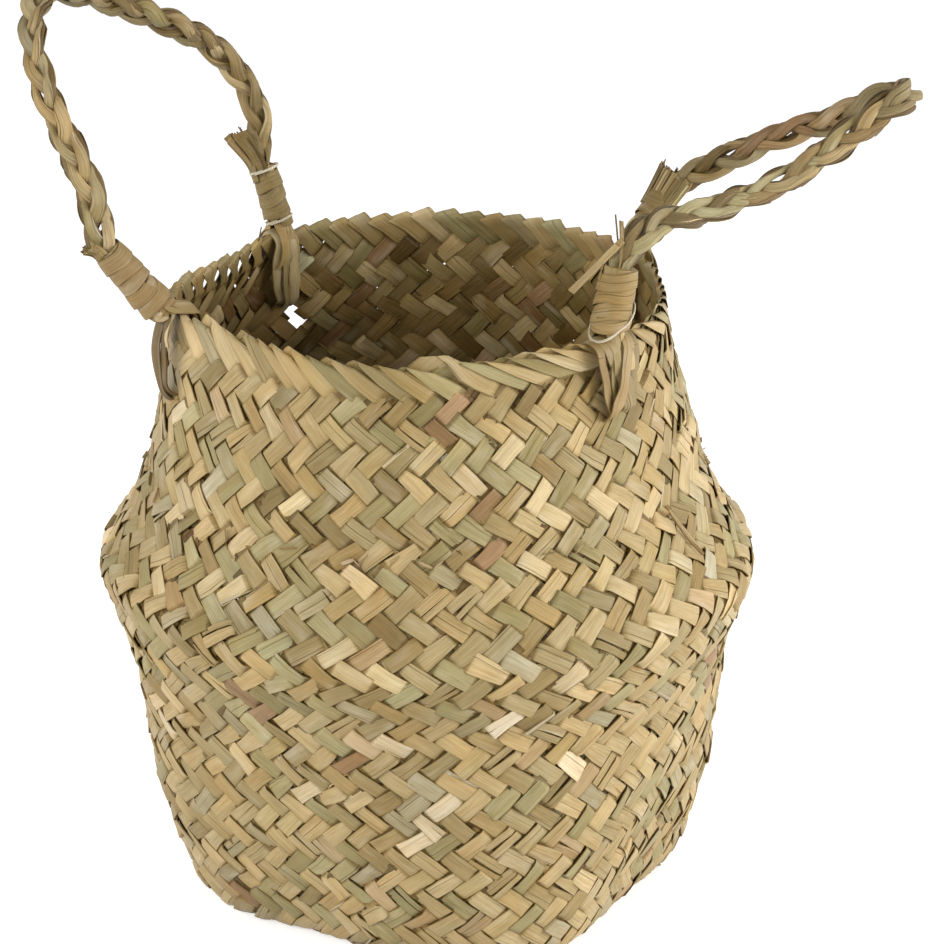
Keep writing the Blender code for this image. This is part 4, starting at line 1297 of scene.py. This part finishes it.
class BASKET_OT_bindings(Step, Operator):
    """Winds a leaf round each leg, over the strands that turn back into it"""
    bl_idname = "basket.bindings"
    bl_label = "Bindings"

    def make(self, scene):
        for number, leg in enumerate(LEGS):
            draw = random.Random(61 + number)
            work = Leaves()
            _, _, radius, length = LEGS[leg]
            lay_binding_core(work, draw, leg)
            # Winding: one long leaf of one tone, each turn a little over the last
            colours, _, down = WRAP_LOOK[leg]
            tone = pick(draw, colours, WRAP_LIGHT[leg], 0.03)
            lay_winding(work, leg, -down * radius, length - 0.0012, 0.0046, tone, number * 0.9, 0.0)
            if leg == "left_front":
                lay_winding(work, leg, -0.0005, 0.0070, 0.0042, tone * np.array([1.05] * 3 + [0.7]),
                            2.0, 0.0006)
            if leg == "right_front":
                # One leaf goes round the foot aslant, up to the right
                foot, away, first, second = leg_axes(leg)
                _, _, _, along = rim_arrays(LEGS[leg][0])
                radial = around(np.linspace(0, math.tau * 1.15, 40), first, second)
                high = -0.0020 + 0.0020 * (radial @ along)
                spread = sleeve_radius(leg, high, 0.86) + 0.0004
                path = foot + radial * spread[:, None] + high[:, None] * away
                lay_strip(work, path, radial, 0.0036, 0.0004, tone * np.array([1.08] * 3 + [0.4]),
                          crown=0.0002, seed=1.0)
            piece = work.build(leg + "_wraps", leaf_material(
                leg + "_wrap_leaf", fibres=8.0, contrast=1.05))
            finish_piece(piece, handle_of(leg), leg + "_binding")


# Cut ends: blades, how far they reach and fan out, how far round the binding they stand in
# degrees, the turn and tilt they point to in degrees, how far below the top they start, how far
# they lean out and sway, how often one is brown, and brightness
BRUSHES = {
    "left_front": (96, 0.0054, 0.0, 125.0, 170.0, 30.0, 0.0002, 0.70, 0.12, 3.0, 1.0),
    "left_back": (44, 0.0175, 0.0078, 20.0, 188.0, 50.0, 0.0035, 0.06, 0.12, 9.0, 0.78),
    "right_front": (4, 0.0180, 0.0050, 0.0, 100.0, 88.0, 0.0030, 0.06, 0.12, 3.0, 1.0),
    "right_back": (90, 0.0150, 0.0070, 105.0, -110.0, 60.0, 0.0080, 0.06, 0.03, 16.0, 1.0),
}
# Blades of another width, and blades that stand further in: depth at the middle and its change
BLADE_WIDTHS = {"right_front": (0.0008, 0.0013), "left_back": (0.0018, 0.0036)}
BLADE_DEPTHS = {"right_front": (0.0060, 0.0), "right_back": (-0.0004, 0.0020)}
HAIR_WIDTH = 0.00035


def lay_blades(work, draw, leg):
    """Lays the cut ends of one leg, some of them as thin hairs."""
    foot, away, _, _ = leg_axes(leg)
    _, _, radius, length = LEGS[leg]
    count, reach, fan, ring, turn, tilt, below, slant, sway, brown, bright = BRUSHES[leg]
    ring, turn, tilt = (math.radians(value) for value in (ring, turn, tilt))
    round_share = min(ring / 1.5, 1.0)
    grow = np.array([math.cos(turn) * math.cos(tilt), math.sin(turn) * math.cos(tilt),
                     math.sin(tilt)])
    beside = unit(grow - away * (grow @ away))
    across = np.cross(away, beside)
    inset, change = BLADE_DEPTHS.get(leg, (0.0022 - 0.0010 * round_share, 0.0012 * round_share))
    parts = np.linspace(0, 1, 8)
    step = ease(parts * 1.6)[:, None]
    spread = (0.60 + 0.40 * parts ** 1.5)[:, None]
    for blade in range(count):
        side, deep = draw.uniform(-1, 1), draw.uniform(-1, 1)
        hair = draw.random() < 0.14 and leg != "right_front"
        radial = beside * math.cos(side * ring) + across * math.sin(side * ring)
        target = unit(grow * (1 - round_share) + (away + radial * slant) * round_share
                      + across * side * sway)
        start = (foot + away * (length - below)
                 + radial * (radius - inset - change * (1 + deep)))
        span = reach * draw.uniform(0.88, 1.04) * (1.12 if hair else 1.0)
        lean = unit(away[None, :] * (1 - step) + target[None, :] * step)
        steps = np.concatenate([[np.zeros(3)], np.cumsum(
            0.5 * (lean[1:] + lean[:-1]) * (span / 7), axis=0)])
        path = start + steps + across * side * fan / 2 * spread + radial * deep * 0.0016 * spread
        spin = draw.uniform(-0.8, 0.8)
        tone = pick(draw, (1.2, 1.6, 0.3, 0.8, 0.6, 0.6, brown, 5.0),
                    0.30 if hair else draw.uniform(0.56, 0.98) * bright)
        width = HAIR_WIDTH if hair else draw.uniform(0.0010, 0.0022)
        if leg in BLADE_WIDTHS and not hair:
            width = draw.uniform(*BLADE_WIDTHS[leg])
        lay_strip(work, path, radial * math.cos(spin) + across * math.sin(spin), width, 0.0003,
                  tone, columns=2, seed=blade * 2.3, crown=0.0002)


class BASKET_OT_tips(Step, Operator):
    """Adds the cut leaf ends that stand out above each binding"""
    bl_idname = "basket.tips"
    bl_label = "Cut ends"

    def make(self, scene):
        for number, leg in enumerate(LEGS):
            draw = random.Random(71 + number)
            work = Leaves()
            lay_blades(work, draw, leg)
            if leg == "right_front":
                # A flat reed that is caught in the winding and hangs over the inside
                foot, away, _, _ = leg_axes(leg)
                high = foot + away * (LEGS[leg][3] + 0.0085) + np.array([-0.0022, -0.0040, 0])
                reed = high + np.linspace(0, 1, 9)[:, None] * np.array([-0.0140, 0.0060, -0.0170])
                for lane, light in ((-0.0008, 1.15), (0.0008, 0.80)):
                    lay_strip(work, reed + np.array([lane, 0, lane]), (0.3, -1, 0.3), 0.0023, 0.0004,
                              pick(draw, (1, 1, 0, 0, 0, 0, 0, 5), light, 0.02), columns=2,
                              seed=lane * 900)
            piece = work.build(leg + "_leaf_tips", leaf_material(
                leg + "_tip_leaf", fibres=6.0, contrast=0.9))
            finish_piece(piece, handle_of(leg), leg + "_cut_ends")


# Threads: name of the solid, leg, how far up its binding, how far it has slipped down, how much
# it climbs along the rim, and its extra reach
THREADS = (
    ("left_back_upper_tie", "left_back", 0.94, 0.0004, -0.0006, 0.0),
    ("left_back_lower_tie", "left_back", 0.25, 0.0066, -0.0006, 0.0001),
    ("right_front_tie", "right_front", 0.20, 0.0050, 0.0070, 0.0003),
)
THREAD_RADIUS = 0.0003


class BASKET_OT_threads(Step, Operator):
    """Ties the thin pale threads round the bindings"""
    bl_idname = "basket.threads"
    bl_label = "Tie threads"

    def make(self, scene):
        for number, (name, leg, share, sag, slant, wide) in enumerate(THREADS):
            draw = random.Random(81 + number)
            work = Leaves()
            foot, away, first, second = leg_axes(leg)
            _, _, _, along = rim_arrays(LEGS[leg][0])
            angle = np.linspace(0, math.tau * 2.1, 64)
            radial = around(angle, first, second)
            rise = (LEGS[leg][3] * share - sag + slant * (radial @ along)
                    + THREAD_RADIUS * angle / math.tau)
            spread = sleeve_radius(leg, rise, 0.84) + 2 * THREAD_RADIUS + wide
            path = foot + radial * spread[:, None] + rise[:, None] * away
            turn = np.arange(6) * math.tau / 6
            outline = np.tile(
                THREAD_RADIUS * np.stack([np.cos(turn), np.sin(turn)], -1), (len(path), 1, 1))
            lay_tube(work, path, *steady_frame(path), outline, (0.66, 0.60, 0.46, draw.random()))
            piece = work.build(name + "_thread", leaf_material(
                name + "_cotton", fibres=3.0, contrast=0.3))
            finish_piece(piece, handle_of(leg), name)


# Stage

def mix_for_background(tree, lit, seen, target):
    """Shows one shader to rays that see the white background and the other to all others."""
    path = tree.nodes.new("ShaderNodeLightPath").outputs
    rays = link_math(tree, "ADD", path["Is Camera Ray"], path["Is Glossy Ray"])
    rays = link_math(tree, "ADD", rays, path["Is Transmission Ray"], clamp=True)
    mixed = tree.nodes.new("ShaderNodeMixShader")
    for place, source in enumerate((rays, lit, seen)):
        tree.links.new(source, mixed.inputs[place])
    tree.links.new(mixed.outputs[0], tree.nodes[target].inputs["Surface"])


def pale_floor():
    """A matt pale surface that glows enough to be white where it is seen."""
    surface = bpy.data.materials.new("pale_floor")
    surface.use_nodes = True
    tree = surface.node_tree
    shader = tree.nodes["Principled BSDF"]
    shader.inputs["Base Color"].default_value = (0.80, 0.80, 0.80, 1)
    shader.inputs["Roughness"].default_value = 0.9
    shader.inputs["Specular IOR Level"].default_value = 0.1
    glow = tree.nodes.new("ShaderNodeEmission")
    glow.inputs["Strength"].default_value = 0.55
    both = tree.nodes.new("ShaderNodeAddShader")
    tree.links.new(shader.outputs[0], both.inputs[0])
    tree.links.new(glow.outputs[0], both.inputs[1])
    mix_for_background(tree, shader.outputs[0], both.outputs[0], "Material Output")
    return surface


def soft_sky(strength):
    """White light from all sides, and plain white where it is seen."""
    world = bpy.data.worlds.new("soft_sky")
    world.use_nodes = True
    tree = world.node_tree
    sky, seen = tree.nodes["Background"], tree.nodes.new("ShaderNodeBackground")
    for shader, power in ((sky, strength), (seen, 1.0)):
        shader.inputs["Color"].default_value = (1, 1, 1, 1)
        shader.inputs["Strength"].default_value = power
    mix_for_background(tree, sky.outputs[0], seen.outputs[0], "World Output")
    return world


def photo_camera():
    """The camera that stands where the photograph was taken from."""
    lens = bpy.data.cameras.new("photo_view")
    camera = bpy.data.objects.new("photo_view", lens)
    lens.sensor_width = 36.0
    lens.lens = 135.53
    lens.clip_start, lens.clip_end = 0.05, 20.0
    ahead = Vector((0.0123, 0.9319, -0.3625)).normalized()
    top = Vector((0.0070, 0.3624, 0.9320))
    top = (top - ahead * top.dot(ahead)).normalized()
    turned = Matrix((ahead.cross(top), top, -ahead)).transposed().to_4x4()
    camera.matrix_world = Matrix.Translation((-0.0032, -1.1124, 0.5772)) @ turned
    return camera


class BASKET_OT_stage(Step, Operator):
    """Sets up the pale floor, the soft lamps and the camera"""
    bl_idname = "basket.stage"
    bl_label = "Stage"

    def make(self, scene):
        light = scene.basket_studio_light
        bpy.ops.object.select_all(action="DESELECT")
        bpy.ops.mesh.primitive_plane_add(size=6.0, location=(0, 0, 0))
        floor = bpy.context.object
        floor.name = "studio_floor"
        floor.data.materials.append(pale_floor())
        scene.world = soft_sky(light.sky)
        for name, spot, size, power in (
                ("main_lamp", (-0.60, -1.15, 0.80), 0.5, light.key),
                ("fill_lamp", (1.25, -0.25, 0.42), 0.9, light.fill),
                ("side_lamp", (-1.25, -0.10, 0.42), 0.9, light.side)):
            bpy.ops.object.light_add(type="AREA", location=spot)
            lamp = bpy.context.object
            lamp.name = name
            lamp.data.shape = "SQUARE"
            lamp.data.size = size
            lamp.data.energy = power
            aim = Vector((0, 0, 0.12)) - Vector(spot)
            lamp.rotation_euler = aim.to_track_quat("-Z", "Y").to_euler()
        scene.camera = photo_camera()
        scene.collection.objects.link(scene.camera)
        scene.view_settings.view_transform = "Standard"


# Add-on

class BASKET_PT_panel(Panel):
    """Lists the basket's sizes and the steps that build it"""
    bl_idname = "BASKET_PT_panel"
    bl_label = "Belly basket"
    bl_space_type = "VIEW_3D"
    bl_region_type = "UI"
    bl_category = "Basket"

    def draw(self, context):
        for setting in SETTINGS:
            group = getattr(context.scene, setting)
            box = self.layout.box()
            for name in group.__annotations__:
                box.prop(group, name)
        column = self.layout.column(align=True)
        for step in STEPS:
            column.operator(step.bl_idname)


STEPS = (
    BASKET_OT_base, BASKET_OT_lower, BASKET_OT_belly, BASKET_OT_shoulder, BASKET_OT_collar,
    BASKET_OT_rim, BASKET_OT_loops, BASKET_OT_feet, BASKET_OT_ropes, BASKET_OT_bindings,
    BASKET_OT_tips, BASKET_OT_threads, BASKET_OT_stage,
)
SETTINGS = {
    "basket_weave_sizes": WeaveSizes,
    "basket_leaf_colours": LeafColours,
    "basket_studio_light": StudioLight,
}


def register():
    for name, group in SETTINGS.items():
        bpy.utils.register_class(group)
        setattr(bpy.types.Scene, name, PointerProperty(type=group))
    for step in (*STEPS, BASKET_PT_panel):
        bpy.utils.register_class(step)


def unregister():
    for step in (BASKET_PT_panel, *reversed(STEPS)):
        bpy.utils.unregister_class(step)
    for name, group in SETTINGS.items():
        delattr(bpy.types.Scene, name)
        bpy.utils.unregister_class(group)


def clear_startup():
    """Takes away the objects that a new scene starts with."""
    for name in ("Cube", "Light", "Camera"):
        thing = bpy.data.objects.get(name)
        if thing is not None:
            bpy.data.objects.remove(thing, do_unlink=True)


def main():
    clear_startup()
    register()
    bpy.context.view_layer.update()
    for step in STEPS:
        group, name = step.bl_idname.split(".")
        getattr(getattr(bpy.ops, group), name)()


if __name__ == "__main__":
    main()
